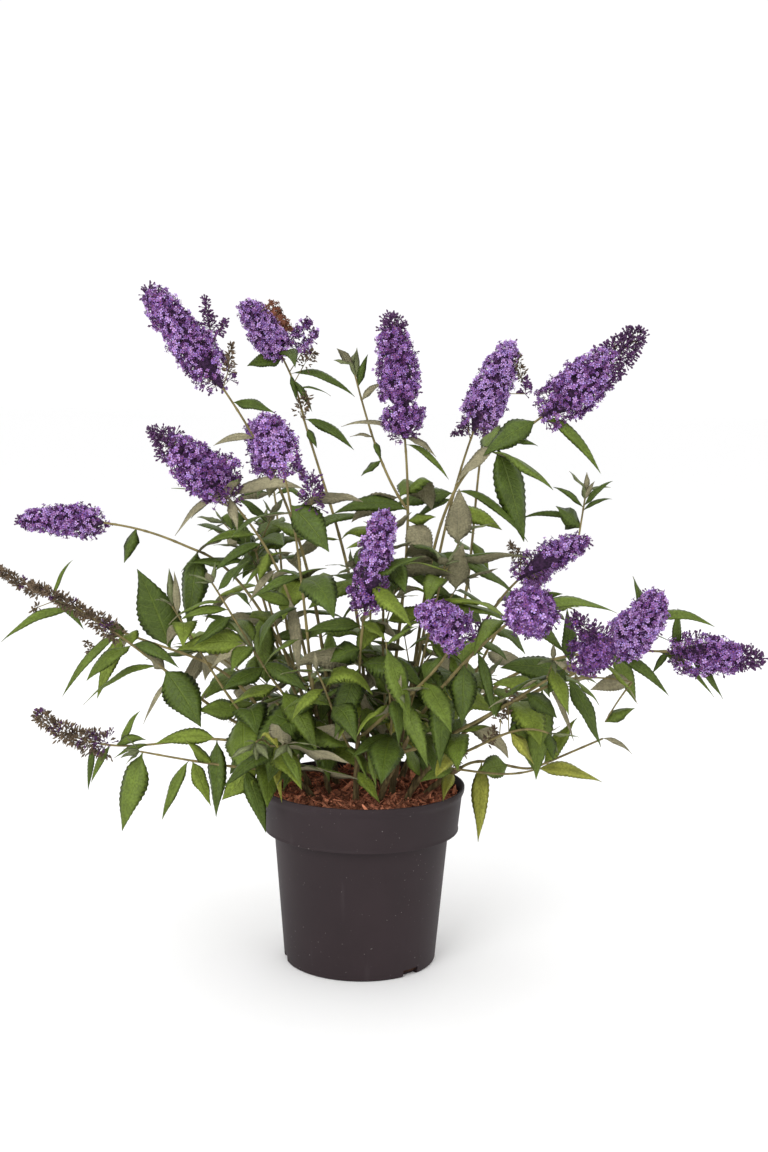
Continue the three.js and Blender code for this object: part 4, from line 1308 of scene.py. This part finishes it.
class Leaf:
    """One leaf: its rib, the way its blade faces and its width."""

    def __init__(self, rib, width, roll=0.0, faces=UP):
        self.rib, self.length, self.half = rib, rib.length, 0.5 * width
        along = unit(rib.points[-1] - rib.points[0])
        side = np.cross(along, faces)
        if np.linalg.norm(side) < 0.2:
            side = np.cross(along, rib.heading(0))
        self.side = turned(unit(side), along, roll)

    def probes(self):
        """Points spread over the blade, clear of its root, and their shares of its length."""
        rows = max(4, math.ceil(self.length / GRID))
        shares = np.linspace(0.14, 1, rows)
        half = self.half * np.interp(shares, BLADE["at"], BLADE["half"])
        across = np.array([-0.9, -0.3, 0.3, 0.9])
        reach = self.side * (across[None, :, None] * half[:, None, None])
        points = self.rib.at(shares * self.rib.length)[:, None] + reach
        return points.reshape(-1, 3), np.repeat(shares, len(across))

    def add_to(self, batch, thickness, draws):
        """Adds the blade as a thin closed solid, serrate, folded and gently waved."""
        middle = self.length > LONG_LEAF
        along = np.linspace(0, 1, BLADE["rows"] if middle else BLADE["rows"] // 3)
        half = self.half * np.interp(along, BLADE["at"], BLADE["half"])
        across = np.array(BLADE["across"] if middle else (-1, 0, 1))
        camber = np.array(BLADE["camber"] if middle else (-0.2, 0.05, -0.2))
        rows, columns = len(along), len(across)
        half = half * draws.between(0.86, 1.12)
        centres = self.rib.at(along * self.rib.length)
        headings = self.rib.heading(along * self.rib.length)
        twist = draws.between(-0.7, 0.7) * along[:, None] ** 1.5
        side = self.side * np.cos(twist) + np.cross(headings, self.side) * np.sin(twist)
        side = unit(side - headings * np.sum(side * headings, axis=1, keepdims=True))
        face = np.cross(side, headings)
        teeth = 1 + BLADE["tooth"] * np.where(np.arange(rows) % 2, 1, -1)
        fold = draws.between(0.4, 2.0)
        ripple = 0.16 * np.sin(along * draws.between(8, 14) + draws.between(0, 6))
        reach = across[None] * half[:, None]
        reach[:, [0, -1]] *= teeth[:, None]
        height = half[:, None] * (camber[None] * fold + ripple[:, None] * across[None] ** 2)
        top = centres[:, None] + side[:, None] * reach[..., None] + face[:, None] * height[..., None]
        thick = np.full(columns, thickness)
        thick[[0, -1]] = 0.0
        under = top - face[:, None] * thick[None, :, None]
        stack = np.concatenate([top.reshape(-1, 3), under[:, 1:-1].reshape(-1, 3)])
        upper = np.arange(rows * columns).reshape(rows, columns)
        lower = upper.copy()
        lower[:, 1:-1] = rows * columns + np.arange(rows * (columns - 2)).reshape(rows, -1)
        place = np.stack(np.broadcast_arrays(across[None], along[:, None]), -1)
        places = np.concatenate([place.reshape(-1, 2), place[:, 1:-1].reshape(-1, 2)])

        def halves(grid, flip):
            a, b, c, d = grid[:-1, :-1], grid[:-1, 1:], grid[1:, 1:], grid[1:, :-1]
            pairs = [(a, c, b), (a, d, c)] if flip else [(a, b, c), (a, c, d)]
            return np.concatenate([np.stack(pair, -1).reshape(-1, 3) for pair in pairs])

        batch.add(stack, halves(upper, False), places)
        batch.add_faces(halves(lower, True), kind=1)


# Shares of the leaves by tone: yellow ones and more fresh ones low in the crown.
TONES = {"yellowing": 0.06, "fresh_low": 0.24, "fresh": 0.1, "deep": 0.66}
YELLOWING_BELOW, FRESH_BELOW = 310 * MM, 420 * MM
YOUNG = 40 * MM  # the length under which a leaf is young and felted


def leaf_tone(length, height, luck):
    """The colour of a leaf of the rule, from its length, its height and a draw."""
    if length < YOUNG:
        return "young"
    if height < YELLOWING_BELOW and luck < TONES["yellowing"]:
        return "yellowing"
    if luck < TONES["fresh_low" if height < FRESH_BELOW else "fresh"]:
        return "fresh"
    return "deep" if luck < TONES["deep"] else "middle"


LEAF_BEND = 0.45  # where a leaf bends over, as a share of its length
RIB_POINTS = 24
STANDOUT_ROLL = 0.7  # how far a leaf of the table turns about its rib, in radians
# Radii of a twig at its foot and tip in millimetres, how far a long one bows, and the angle
# in degrees at which a side twig leaves its stem, and its rise.
TWIG = {"long": (1.2, 0.7), "side": (1.1, 0.6), "bow": 0.08, "spread": 42, "rise": 0.12}
ROOM = 6 * MM  # how far the leaves may pass the solids' box


class Crown:
    """The leaves and twigs of the whole plant, grown shoot by shoot."""

    def __init__(self, context):
        self.sizes, self.pot = context.scene.bush_leaves, context.scene.bush_pot
        self.view = View(context.scene.bush_stage)
        self.space = Space(CAD_BOX[0] - Vector((ROOM,) * 3), CAD_BOX[1] + Vector((ROOM,) * 3))
        self.wood = Batch()
        self.leaves = defaultdict(Batch)
        self.owner = 0

    def take_limbs(self):
        """Canes, stems and flower heads take their places before any leaf does."""
        for plan in CANES.values():
            path = cane_path(*plan)
            self.space.take(path.at(np.arange(0, path.length, 3 * MM)), 1)
        for index, (name, path, bare, flowers) in enumerate(shoots()):
            owner = 2 + 2 * index
            self.space.take(path.at(np.arange(0, path.length, 3 * MM)), owner)
            if not flowers:
                continue
            places = np.linspace(0.04, 1, 30)
            blunt = BLOOM[name].blunt if name in BLOOM else SPENT_BLUNT
            radius = 0.5 * MM * FLOWERING[name][4] * head_swell(places, blunt)
            centres = path.at(lerp(bare, path.length, places))
            frames = frames_facing(path.heading(lerp(bare, path.length, places)), np.zeros(len(places)))
            for angle in angles_round(16):
                outward = frames[:, 0] * math.cos(angle) + frames[:, 1] * math.sin(angle)
                for depth in (0.3, 0.65, 1.0):
                    self.space.take(centres + outward * (depth * radius)[:, None], owner + 1)

    def fits(self, leaf):
        """True, and its room taken, where a leaf touches no limb, head or other leaf."""
        points, shares = leaf.probes()
        outer = shares > 0.4
        if not clear_of_pot(points, self.pot) or not above_underside(points[outer], self.pot):
            return False
        if not self.space.is_free(points[outer], self.owner):
            return False
        if not self.space.is_free(points[~outer], self.owner, self.owner + 1):
            return False
        self.space.take(points, self.owner + 1)
        return True

    def add_leaf(self, leaf, tone, draws):
        leaf.add_to(self.leaves[f"leaves_{tone}"], self.sizes.thickness, draws)

    def add_twig(self, path, radii):
        """The wood of a twig, from its first radius to its second."""

        def radius_at(share, _):
            return lerp(*radii, share) * MM

        tube(self.wood, path, 0, path.length, radius_at, 5, 8 * MM)

    def grow_standouts(self):
        """The large leaves that stand out take their places before the others."""
        draws = Draws(SEEDS["standouts"])
        paths = {name: cane_path(*plan) for name, plan in CANES.items()}
        owners = {name: 1 for name in CANES}
        for index, (name, path, _, _) in enumerate(shoots()):
            paths[name], owners[name] = path, 2 + 2 * index
        for name, (limb, foot, tip, back) in STANDOUT_TWIGS.items():
            root, end = self.view.foot(paths[limb], foot), self.view.place(tip, back * MM)
            bow = UP * TWIG["bow"] * np.linalg.norm(end - root)
            path = Path.bezier(root, lerp(root, end, 0.5) + bow, end, count=RIB_POINTS)
            paths[name], owners[name] = path, owners[limb]
            self.space.take(path.points, owners[limb])
            self.add_twig(path, TWIG["long"])
        for limb, foot, tip, breadth, tone, back in STANDOUT_LEAVES:
            root = self.view.foot(paths[limb], foot)
            end = self.view.place(tip, root[1] + back * MM)
            width, span = self.view.size(breadth, root), np.linalg.norm(end - root)
            arch = span * lerp(*ARCH, min(1, width / (ARCH_BREADTH * span)))
            rib = Path.bezier(root, lerp(root, end, LEAF_BEND) + UP * arch, end, count=RIB_POINTS)
            turned_over = tone == "turned"
            faces = -OUTWARD if turned_over else OUTWARD
            leaf = Leaf(rib, width, STANDOUT_ROLL * (draws() - 0.5), faces)
            self.space.take(leaf.probes()[0], owners[limb] + 1)
            self.add_leaf(leaf, "middle" if turned_over else tone, draws)

    def try_leaf(self, root, outward, stemward, length, droop, ripeness, draws, lift=34):
        """Tries a few attitudes until the leaf fits, gives it its colour and adds it."""
        slimness = self.sizes.slimness * lerp(0.7, 1.1, ripeness**0.7) * draws.between(0.88, 1.14)
        rise = math.radians(lift)
        first = outward * math.cos(rise) + stemward * math.sin(rise)
        for attempt in range(5):
            roll = (0.9 + 0.35 * attempt) * (draws() - 0.5)
            size = length * (1 - 0.07 * attempt)
            last = unit(first - UP * droop * draws.between(1 - 0.2 * attempt, 1 + 0.2 * attempt))
            bend = root + first * LEAF_BEND * size
            rib = Path.bezier(root, bend, bend + last * (1 - LEAF_BEND) * size, count=RIB_POINTS)
            leaf = Leaf(rib, slimness * size, roll)
            if self.fits(leaf):
                break
        else:
            return
        self.add_leaf(leaf, leaf_tone(length, root[2], draws()), draws)

    def grow_canes(self):
        """Pairs of leaves up the upper part of each cane."""
        self.owner = 1
        for index, plan in enumerate(CANES.values()):
            path, draws = cane_path(*plan), Draws(SEEDS["canes"] + SEED_STEP * index)
            along, turn = 0.5 * path.length, 2 * math.pi * draws()
            while along < path.length:
                root, stemward = path.at(along), path.heading(along)
                turn += math.pi / 2 + 0.4 * (draws() - 0.5)
                for half_turn in (0, math.pi):
                    outward = turned(unit(np.cross(stemward, [0.3, 1, 0])), stemward, turn + half_turn)
                    length = self.sizes.longest * draws.between(0.55, 0.85)
                    self.try_leaf(root, outward, stemward, length, 0.9 + 1.2 * draws(), 0.95, draws)
                along += self.sizes.leafy_internode * draws.between(0.8, 1.1)

    def grow_shoot(self, index, name, path, bare, flowers):
        """Pairs of leaves up the stem, each pair square to the last, and twigs in some axils."""
        sizes, draws = self.sizes, Draws(SEEDS["shoots"] + SEED_STEP * index)
        self.owner = 2 + 2 * index
        internode = sizes.flowering_internode if flowers else sizes.leafy_internode
        branching = sizes.flowering_branching if flowers else sizes.leafy_branching
        apart = SPARSE.get(name, 1)
        shed_from, shed_to = (mark * MM for mark in SHED.get(name, (0, 0)))
        along, turn = 18 * MM, 2 * math.pi * draws()
        while along < bare:
            ripeness = 1 - along / bare
            root, stemward = path.at(along), path.heading(along)
            base = unit(np.cross(stemward, UP))
            turn += math.pi / 2 + 0.3 * (draws() - 0.5)
            shed = shed_from < along < shed_to
            for half_turn in () if shed else (0, math.pi):
                outward = turned(base, stemward, turn + half_turn)
                length = lerp(sizes.shortest, sizes.longest, ripeness**0.5) * draws.between(0.62, 1.1)
                droop = lerp(0.5, 1.1, ripeness) + 1.4 * draws()
                self.try_leaf(root, outward, stemward, length, droop, ripeness, draws)
                if draws() < branching and apart < TWIGGY:
                    self.grow_twig(root, outward, stemward, draws.between(36 * MM, 66 * MM), draws)
            widening = lerp(2.0, 0.85, ripeness) if flowers else lerp(0.75, 1.0, ripeness)
            along += internode * widening * apart * draws.between(0.85, 1.15)
        if not flowers:
            self.grow_tuft(path.at(path.length), path.heading(path.length), draws)

    def grow_twig(self, root, outward, stemward, length, draws):
        """A short side twig with pairs of smaller leaves and a tuft of young ones."""
        spread = math.radians(TWIG["spread"])
        heading = stemward * math.cos(spread) + outward * math.sin(spread)
        tip = root + heading * length + UP * TWIG["rise"] * length
        path = Path.bezier(root, root + heading * 0.5 * length, tip, count=16)
        probes = path.at(np.linspace(0.35, 1, 8) * path.length)
        if not clear_of_pot(probes, self.pot):
            return
        if not self.space.is_free(probes, self.owner, self.owner + 1):
            return
        self.space.take(probes, self.owner)
        self.add_twig(path, TWIG["side"])
        across = unit(np.cross(heading, UP))
        for step, place in enumerate((0.35, 0.75)):
            for half_turn in (0, math.pi):
                spread = turned(across, heading, half_turn + 1.57 * step + 0.5 * draws())
                size = self.sizes.shortest * (1.3 - 0.4 * place) * draws.between(0.85, 1.15)
                droop = 0.4 + 0.9 * draws()
                self.try_leaf(path.at(place * path.length), spread, heading, size, droop, 0.5, draws)
        self.grow_tuft(tip, heading, draws)

    def grow_tuft(self, tip, heading, draws):
        """The newest leaves of a tip, small, upright and felted."""
        across = unit(np.cross(heading, UP + 0.01))
        for step, size in enumerate((38 * MM, 24 * MM)):
            for half_turn in (0, math.pi):
                spread = turned(across, heading, half_turn + 1.57 * step + 0.4 * draws())
                length = size * draws.between(0.8, 1.1)
                lift, droop = draws.between(40, 56), 0.2 + 0.5 * draws()
                self.try_leaf(tip, spread, heading, length, droop, 0.2, draws, lift)


class BUSH_OT_foliage(bpy.types.Operator):
    """Grows the shoots' stems, side twigs and leaves"""

    bl_idname = "bush.foliage"
    bl_label = "Stems and leaves"

    def execute(self, context):
        sizes = context.scene.bush_leaves
        crown = Crown(context)
        crown.take_limbs()
        crown.grow_standouts()
        for index, (name, path, bare, flowers) in enumerate(shoots()):
            end = bare + 0.55 * (path.length - bare) if flowers else path.length
            most = min(2.0 * MM, 1.0 * MM + 0.0033 * path.length)

            def radius_at(along, angle, length=path.length, most=most):
                node = np.exp(-(((along * length / (40 * MM)) % 1 - 0.5) ** 2) / 0.002)
                square = 1 + 0.07 * np.cos(4 * angle)
                return lerp(most, 1.0 * MM, along) * square * (1 + 0.22 * node)

            tube(crown.wood, path, 0, end, radius_at, 8, 4 * MM)
            crown.grow_shoot(index, name, path, bare, flowers)
        crown.grow_canes()
        stem = mottled("green_stem", sizes.stem, 0.75, 120, 0.25 * MM, spread=0.3, stretch=(1, 1, 0.3))
        keep(crown.wood.build("stems_and_twigs", [stem]), "cane_bark", *FLOWERING, *LEAFY)
        felt = leaf_finish("leaf_felt", sizes.felt, shade(sizes.felt, 1.35), 0.95)
        tones = {
            "leaves_deep": (sizes.deep, 0.48),
            "leaves_middle": (sizes.middle, 0.5),
            "leaves_fresh": (sizes.fresh, 0.6),
            "leaves_yellowing": (sizes.yellowing, 0.6),
            "leaves_young": (sizes.young, 0.85),
        }
        for name, (colour, roughness) in tones.items():
            if crown.leaves[name].count == 0:
                raise RuntimeError(f"no leaf took its place in {name}")
            paler = lerp(np.array(colour), np.array(sizes.fresh), 0.7)
            upper = leaf_finish(name, colour, paler, roughness)
            keep(crown.leaves[name].build(name, [upper, felt]), "leafy_shoot")
        return {"FINISHED"}


# ---- Flower heads ----


# A lobe's outline: how far out, how far aside, and how high.
LOBE = ((0.16, 0.13, 0), (0.4, 0.19, 0.02), (0.53, 0, -0.06), (0.4, -0.19, 0.02), (0.16, -0.13, 0))


def floret_shape():
    """An open floret of unit width, four cupped lobes on a slim tube, facing +Z."""
    points, faces, places = [(0, 0, -0.05)], [], [(0, 0)]
    for lobe in range(4):
        c, s = (1, 0, -1, 0)[lobe], (0, 1, 0, -1)[lobe]
        start = len(points)
        points += [(r * c - w * s, r * s + w * c, h) for r, w, h in LOBE]
        places += [(math.hypot(r, w), 0) for r, w, _ in LOBE]
        faces += [(0, start + corner + 1, start + corner) for corner in range(4)]
    start = len(points)
    for height, radius in ((-0.04, 0.11), (-1.1, 0.06)):
        points += [(radius * math.cos(a), radius * math.sin(a), height) for a in (0.5, 2.6, 4.7)]
        places += [(height - 0.1, 0)] * 3
    for side in range(3):
        after = (side + 1) % 3
        faces.append((start + side, start + 3 + after, start + after))
        faces.append((start + side, start + 3 + side, start + 3 + after))
    return np.array(points), np.array(faces), np.array(places)


def spindle_shape(profile, sides=4):
    """A closed spindle along +Z through (height, radius) pairs; its ends are points."""
    points = [(0, 0, profile[0][0])]
    for height, radius in profile[1:-1]:
        angles = [2 * math.pi * side / sides for side in range(sides)]
        points += [(radius * math.cos(a), radius * math.sin(a), height) for a in angles]
    points.append((0, 0, profile[-1][0]))
    faces = []
    rings, last = len(profile) - 2, len(points) - 1
    for side in range(sides):
        after = (side + 1) % sides
        faces.append((0, 1 + after, 1 + side))
        for ring in range(rings - 1):
            a, b = 1 + ring * sides, 1 + (ring + 1) * sides
            faces += [(a + side, a + after, b + after), (a + side, b + after, b + side)]
        top = 1 + (rings - 1) * sides
        faces.append((top + side, top + after, last))
    return np.array(points), np.array(faces), np.zeros((len(points), 2))


FLORET = floret_shape()
BUD = spindle_shape([(-1.1, 0), (-1.0, 0.07), (0.0, 0.1), (0.32, 0.23), (0.6, 0)])
CAPSULE = spindle_shape([(-0.5, 0), (-0.2, 0.15), (0.3, 0.2), (0.8, 0)])
# The flowers of a cluster by its state, the share of them that is closed, all in any other
# state, and what a cluster that has gone over holds, with its size.
FLOWERS = {"bud": 12, "loose": 9, "open": 14}
CLOSED = {"open": 0.07, "loose": 0.3, "dark": 0.85}
GONE_OVER = {
    "spent": ("capsules", CAPSULE, 5.2 * MM),
    "rust": ("florets_rust", FLORET, 5.0 * MM),
}
GAPPY = 0.3  # the share of clusters that the loose part of a head has lost
WAIST, BARE_WAIST = 0.05, 0.03  # half the length of a nip, and of its stretch without clusters


def cap_directions(heading, spread, count, random):
    """Directions strewn evenly over a cap about a heading, as far as the spread in radians."""
    tilt = np.arccos(1 - (1 - math.cos(spread)) * random.random(count))
    spin = random.random(count) * 2 * math.pi
    x, y, z = frame_facing(heading)
    flat = np.cos(spin)[:, None] * x + np.sin(spin)[:, None] * y
    return np.sin(tilt)[:, None] * flat + np.cos(tilt)[:, None] * z


class Blossom:
    """The florets, buds, stalks and capsules of every flower head."""

    def __init__(self, context):
        self.sizes, self.view = context.scene.bush_flowers, View(context.scene.bush_stage)
        self.random = np.random.default_rng(SEEDS["flowers"])
        self.batches = defaultdict(Batch)

    def copies(self, name, shape, places, directions, scales):
        if len(places):
            frames = frames_facing(directions, self.random.random(len(places)) * 2 * math.pi)
            self.batches[name].add_copies(shape, places, frames, scales)

    def add_florets(self, places, directions, pale):
        """Deals open florets out to the violet and its painted lit and shaded copies, more of them lit
        where asked.
        """
        luck = self.random.random(len(places)) + 0.5 * (pale - 0.5)
        scales = self.sizes.floret * self.random.uniform(0.8, 1.15, len(places))
        deals = {"florets_shaded": luck < 0.3, "florets_lit": luck > 0.68}
        deals["florets_violet"] = ~(deals["florets_shaded"] | deals["florets_lit"])
        for name, dealt in deals.items():
            self.copies(name, FLORET, places[dealt], directions[dealt], scales[dealt])

    def add_cluster(self, centre, heading, radius, state, pale, count, spread=1.25):
        """One small cluster of florets, buds or capsules, strewn over a cap about its heading."""
        random = self.random
        directions = unit(cap_directions(heading, spread, count, random))
        stretch = random.uniform(0.7, 1.12, count) + 0.35 * (random.random(count) < 0.12)
        places = centre + directions * (radius * stretch)[:, None]
        facing = unit(directions + 0.4 * random.standard_normal((count, 3)))
        closed = random.random(count) < CLOSED.get(state, 1.1)
        self.add_florets(places[~closed], facing[~closed], pale)
        name, shape, size = GONE_OVER.get(state, ("buds", BUD, 5.8 * MM))
        scales = size * random.uniform(0.7, 1.15, count)
        self.copies(name, shape, places[closed], directions[closed], scales[closed])

    def add_head(self, name, path, bare):
        """Clusters wind up the head's axis, dense enough to hide it but for a dark core of painted
        shade.
        """
        random, bloom = self.random, BLOOM[name]
        spacing = self.sizes.cluster_spacing
        head, half = path.length - bare, 0.5 * MM * FLOWERING[name][4] * self.sizes.fullness

        def radius_at(place):
            nip = 1 - 0.5 * np.exp(-(((place - bloom.waist) / WAIST) ** 2))
            return half * head_swell(place, bloom.blunt) * nip

        places = np.linspace(0, 1, 80)
        radii = np.maximum(radius_at(places), 0.35 * spacing)
        area = np.concatenate([[0], np.cumsum(0.5 * (radii[1:] + radii[:-1]) * np.diff(places))])
        count = int(2 * math.pi * area[-1] * head / spacing**2)
        steps = np.interp((np.arange(count) + 0.5) / count * area[-1], area, places)
        for index, place in enumerate(steps):
            in_bud = place > 1 - bloom.buds * random.uniform(0.7, 1.3)
            loose = place < bloom.loose * random.uniform(0.6, 1.2)
            if loose and random.random() < GAPPY or abs(place - bloom.waist) < BARE_WAIST:
                continue
            distance = bare + place * head
            radius = float(radius_at(place)) * random.uniform(0.86, 1.1)
            lump = min(radius, spacing * (0.6 if in_bud else 0.7))
            axis = path.heading(distance)
            x, _, _ = frame_facing(axis, index * GOLDEN_ANGLE + 0.5 * random.random())
            tilt = math.radians(lerp(2, 66, place**2.4))
            heading = x * math.cos(tilt) + axis * math.sin(tilt)
            centre = path.at(distance) + x * (radius - lump)
            state = "bud" if in_bud else "loose" if loose else "open"
            # Painted light: the loose foot deals fewer florets to the lit copy and more to the shaded
            # one.
            lit_bias = bloom.pale * (0.4 if loose else 1) * random.uniform(0.6, 1.25)
            self.add_cluster(centre, heading, lump, state, lit_bias, FLOWERS[state])
            self.stalk(path.at(distance) - axis * 0.3 * lump, centre)

        # Painted shade: a dark tube fills the head's middle and shows in the gaps between clusters.
        def core(along, _):
            solid = np.minimum(1, along / (bloom.loose + 0.05))
            closed = np.clip((along - 1 + 1.2 * bloom.buds) * 8, 0, 1)
            return radius_at(along) * lerp(0.12, 0.6, solid) * lerp(1, 0.22, closed)

        tube(self.batches["head_shade_cores"], path, bare, path.length - 0.06 * head, core, 10, 5 * MM)

    def add_spent_head(self, path, bare, half, empty, dark):
        """A spent spike: whorls of dry capsules and dark buds with gaps between them."""
        random = self.random
        head = path.length - bare
        for whorl in np.arange(empty, 0.99, 4.2 * MM / head):
            distance = bare + whorl * head
            axis = path.heading(distance)
            radius = half * lerp(1.1, 0.45, whorl) * random.uniform(0.75, 1.2)
            for turn in range(5):
                x, _, _ = frame_facing(axis, turn * 2 * math.pi / 5 + whorl * 40)
                heading = unit(x + axis * lerp(0.35, 0.9, whorl))
                state = "bud" if random.random() < dark else "spent"
                centre = path.at(distance) + x * 0.34 * radius
                self.add_cluster(centre, heading, 0.6 * radius, state, 0, round(2 + 0.45 * radius / MM))

    def add_spikes(self, paths):
        """Small spikes, each on a stalk from the stem that it stands nearest."""
        for name, foot, tip, width, state, back in SPIKES:
            path = paths[name]
            level = self.view.foot(path, foot)[1] + back * MM
            axis = Path(np.stack([self.view.place(px, level) for px in (foot, tip)]))
            nearest = np.argmin(np.linalg.norm(path.points - axis.points[0], axis=1))
            self.stalk(path.at(path.marks[nearest] - 14 * MM), axis.points[0], 0.65 * MM)
            self.stalk(*axis.points)
            heading, half = unit(axis.points[1] - axis.points[0]), 0.5 * width * MM
            whorls = max(2, round(axis.length / (4 * MM)))
            flowers = round(5 + 1.2 * half / MM)
            # Painted shade: dark spikes deal their few open florets mostly to the shaded copy.
            pale = -0.7 if state == "dark" else 0.3
            for whorl in range(whorls):
                place = whorl / (whorls - 1)
                lump = half * lerp(1, 0.55, place)
                centre = axis.at(place * axis.length)
                self.add_cluster(centre, heading, lump, state, pale, flowers, spread=2.2)

    def stalk(self, foot, top, radius=0.4 * MM):
        path = Path(np.stack([foot, top]))
        if path.length > 1 * MM:
            tube(self.batches["stalks"], path, 0, path.length, lambda *_: radius, 3, 1.0)


class BUSH_OT_flowers(bpy.types.Operator):
    """Opens the flower heads, with their buds and spent parts"""

    bl_idname = "bush.flowers"
    bl_label = "Flower heads"

    def execute(self, context):
        sizes = context.scene.bush_flowers
        blossom = Blossom(context)
        paths = {}
        for name, path, bare, flowers in shoots():
            paths[name] = path
            if name in SPENT:
                blossom.add_spent_head(path, bare, 0.5 * MM * FLOWERING[name][4], *SPENT[name])
            elif flowers:
                blossom.add_head(name, path, bare)
        blossom.add_spikes(paths)
        finishes = {
            "florets_lit": floret_finish("florets_lit", sizes.pale, sizes.tube, sizes.throat),
            "florets_violet": floret_finish("florets_violet", sizes.violet, sizes.tube, sizes.throat),
            "florets_shaded": floret_finish("florets_shaded", sizes.deep, sizes.tube, sizes.throat),
            "florets_rust": mottled("florets_rust", sizes.rust, 0.85, 90, 0.1 * MM),
            "buds": mottled("buds", sizes.bud, 0.6, 90, 0.1 * MM, spread=0.3),
            "capsules": mottled("capsules", sizes.capsule, 0.85, 120, 0.1 * MM, spread=0.45),
            "stalks": mottled("stalks", context.scene.bush_leaves.stem, 0.8, 90, 0.1 * MM),
            # The dark head cores are painted shade.
            "head_shade_cores": mottled("head_shade_cores", sizes.core, 0.9, 300, 1 * MM, spread=0.5),
        }
        for name, finish in finishes.items():
            smooth = name in {"head_shade_cores", "buds"}
            keep(blossom.batches[name].build(name, [finish], smooth), "flowering_shoot")
        return {"FINISHED"}


# ---- Stage ----


FLOOR_HALF = 30.0
AIM = (0, 0, 0.4)
# Place, size and power of each soft light.
LAMPS = {
    "key": ((-1.1, -2.3, 1.7), 1.4, 34),
    "fill": ((2.0, -1.6, 1.3), 1.8, 6),
    "rear": ((0.3, 2.1, 2.2), 1.6, 10),
}


class BUSH_OT_stage(bpy.types.Operator):
    """Lays the pale floor, hangs the soft lights and sets the camera"""

    bl_idname = "bush.stage"
    bl_label = "Stage"

    def execute(self, context):
        scene = context.scene
        sizes = scene.bush_stage
        floor = Batch()
        corners = np.array([[-1, -1, 0], [1, -1, 0], [1, 1, 0], [-1, 1, 0]])
        floor.add(FLOOR_HALF * corners, np.array([[0, 1, 2, 3]]))
        paper = Finish("floor_paper", 0.9, specular=0.1)
        paper.shader.inputs["Base Color"].default_value = (*sizes.floor, 1)
        floor.build("floor", [paper.material])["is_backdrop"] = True

        world = bpy.data.worlds.new("studio")
        world.use_nodes = True
        sky = world.node_tree.nodes["Background"]
        sky.inputs["Color"].default_value = (1, 1, 1, 1)
        sky.inputs["Strength"].default_value = sizes.sky
        scene.world = world
        for name, (place, size, power) in LAMPS.items():
            lamp = bpy.data.lights.new(name, "AREA")
            lamp.size, lamp.energy = size, power
            holder = bpy.data.objects.new(name, lamp)
            holder.location = place
            aim = Vector(AIM) - holder.location
            holder.rotation_euler = aim.to_track_quat("-Z", "Y").to_euler()
            scene.collection.objects.link(holder)

        view = View(sizes)
        camera = bpy.data.objects.new("camera", bpy.data.cameras.new("camera"))
        camera.data.lens = sizes.lens
        camera.data.sensor_width = SENSOR
        camera.location = view.camera
        camera.rotation_euler = Matrix((view.right, view.up, -view.ahead)).transposed().to_euler()
        scene.collection.objects.link(camera)
        scene.camera = camera
        scene.view_settings.view_transform = "Standard"
        return {"FINISHED"}


# ---- Panel, registration and run ----


class BUSH_PT_panel(bpy.types.Panel):
    """Lists the steps that grow the bush, with their sizes"""

    bl_idname = "BUSH_PT_panel"
    bl_label = "Potted Butterfly Bush"
    bl_space_type = "VIEW_3D"
    bl_region_type = "UI"
    bl_category = "Bush"

    def draw(self, context):
        for step in STEPS:
            self.layout.box().operator(step.bl_idname)
        for group in GROUPS:
            box = self.layout.box()
            box.label(text=group[len("bush_") :].capitalize())
            settings = getattr(context.scene, group)
            for size in settings.bl_rna.properties:
                if size.identifier not in {"rna_type", "name"}:
                    box.prop(settings, size.identifier)


GROUPS = {
    "bush_pot": PotSizes,
    "bush_mulch": MulchSizes,
    "bush_canes": CaneSizes,
    "bush_leaves": LeafSizes,
    "bush_flowers": FlowerSizes,
    "bush_stage": StageSizes,
}
STEPS = (BUSH_OT_stage, BUSH_OT_pot, BUSH_OT_mulch, BUSH_OT_canes, BUSH_OT_foliage, BUSH_OT_flowers)


def register():
    for group in GROUPS.values():
        bpy.utils.register_class(group)
    for operator in (*STEPS, BUSH_PT_panel):
        bpy.utils.register_class(operator)
    for name, group in GROUPS.items():
        setattr(bpy.types.Scene, name, PointerProperty(type=group))


def unregister():
    for name in GROUPS:
        delattr(bpy.types.Scene, name)
    for operator in (BUSH_PT_panel, *STEPS):
        bpy.utils.unregister_class(operator)
    for group in GROUPS.values():
        bpy.utils.unregister_class(group)


def main():
    register()
    bpy.ops.bush.stage()
    bpy.ops.bush.pot()
    bpy.ops.bush.mulch()
    bpy.ops.bush.canes()
    bpy.ops.bush.foliage()
    bpy.ops.bush.flowers()
    boxes = {"cad": CAD_BOX, "visual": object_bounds()}
    plain = {name: [list(corner) for corner in box] for name, box in boxes.items()}


if __name__ == "__main__":
    main()
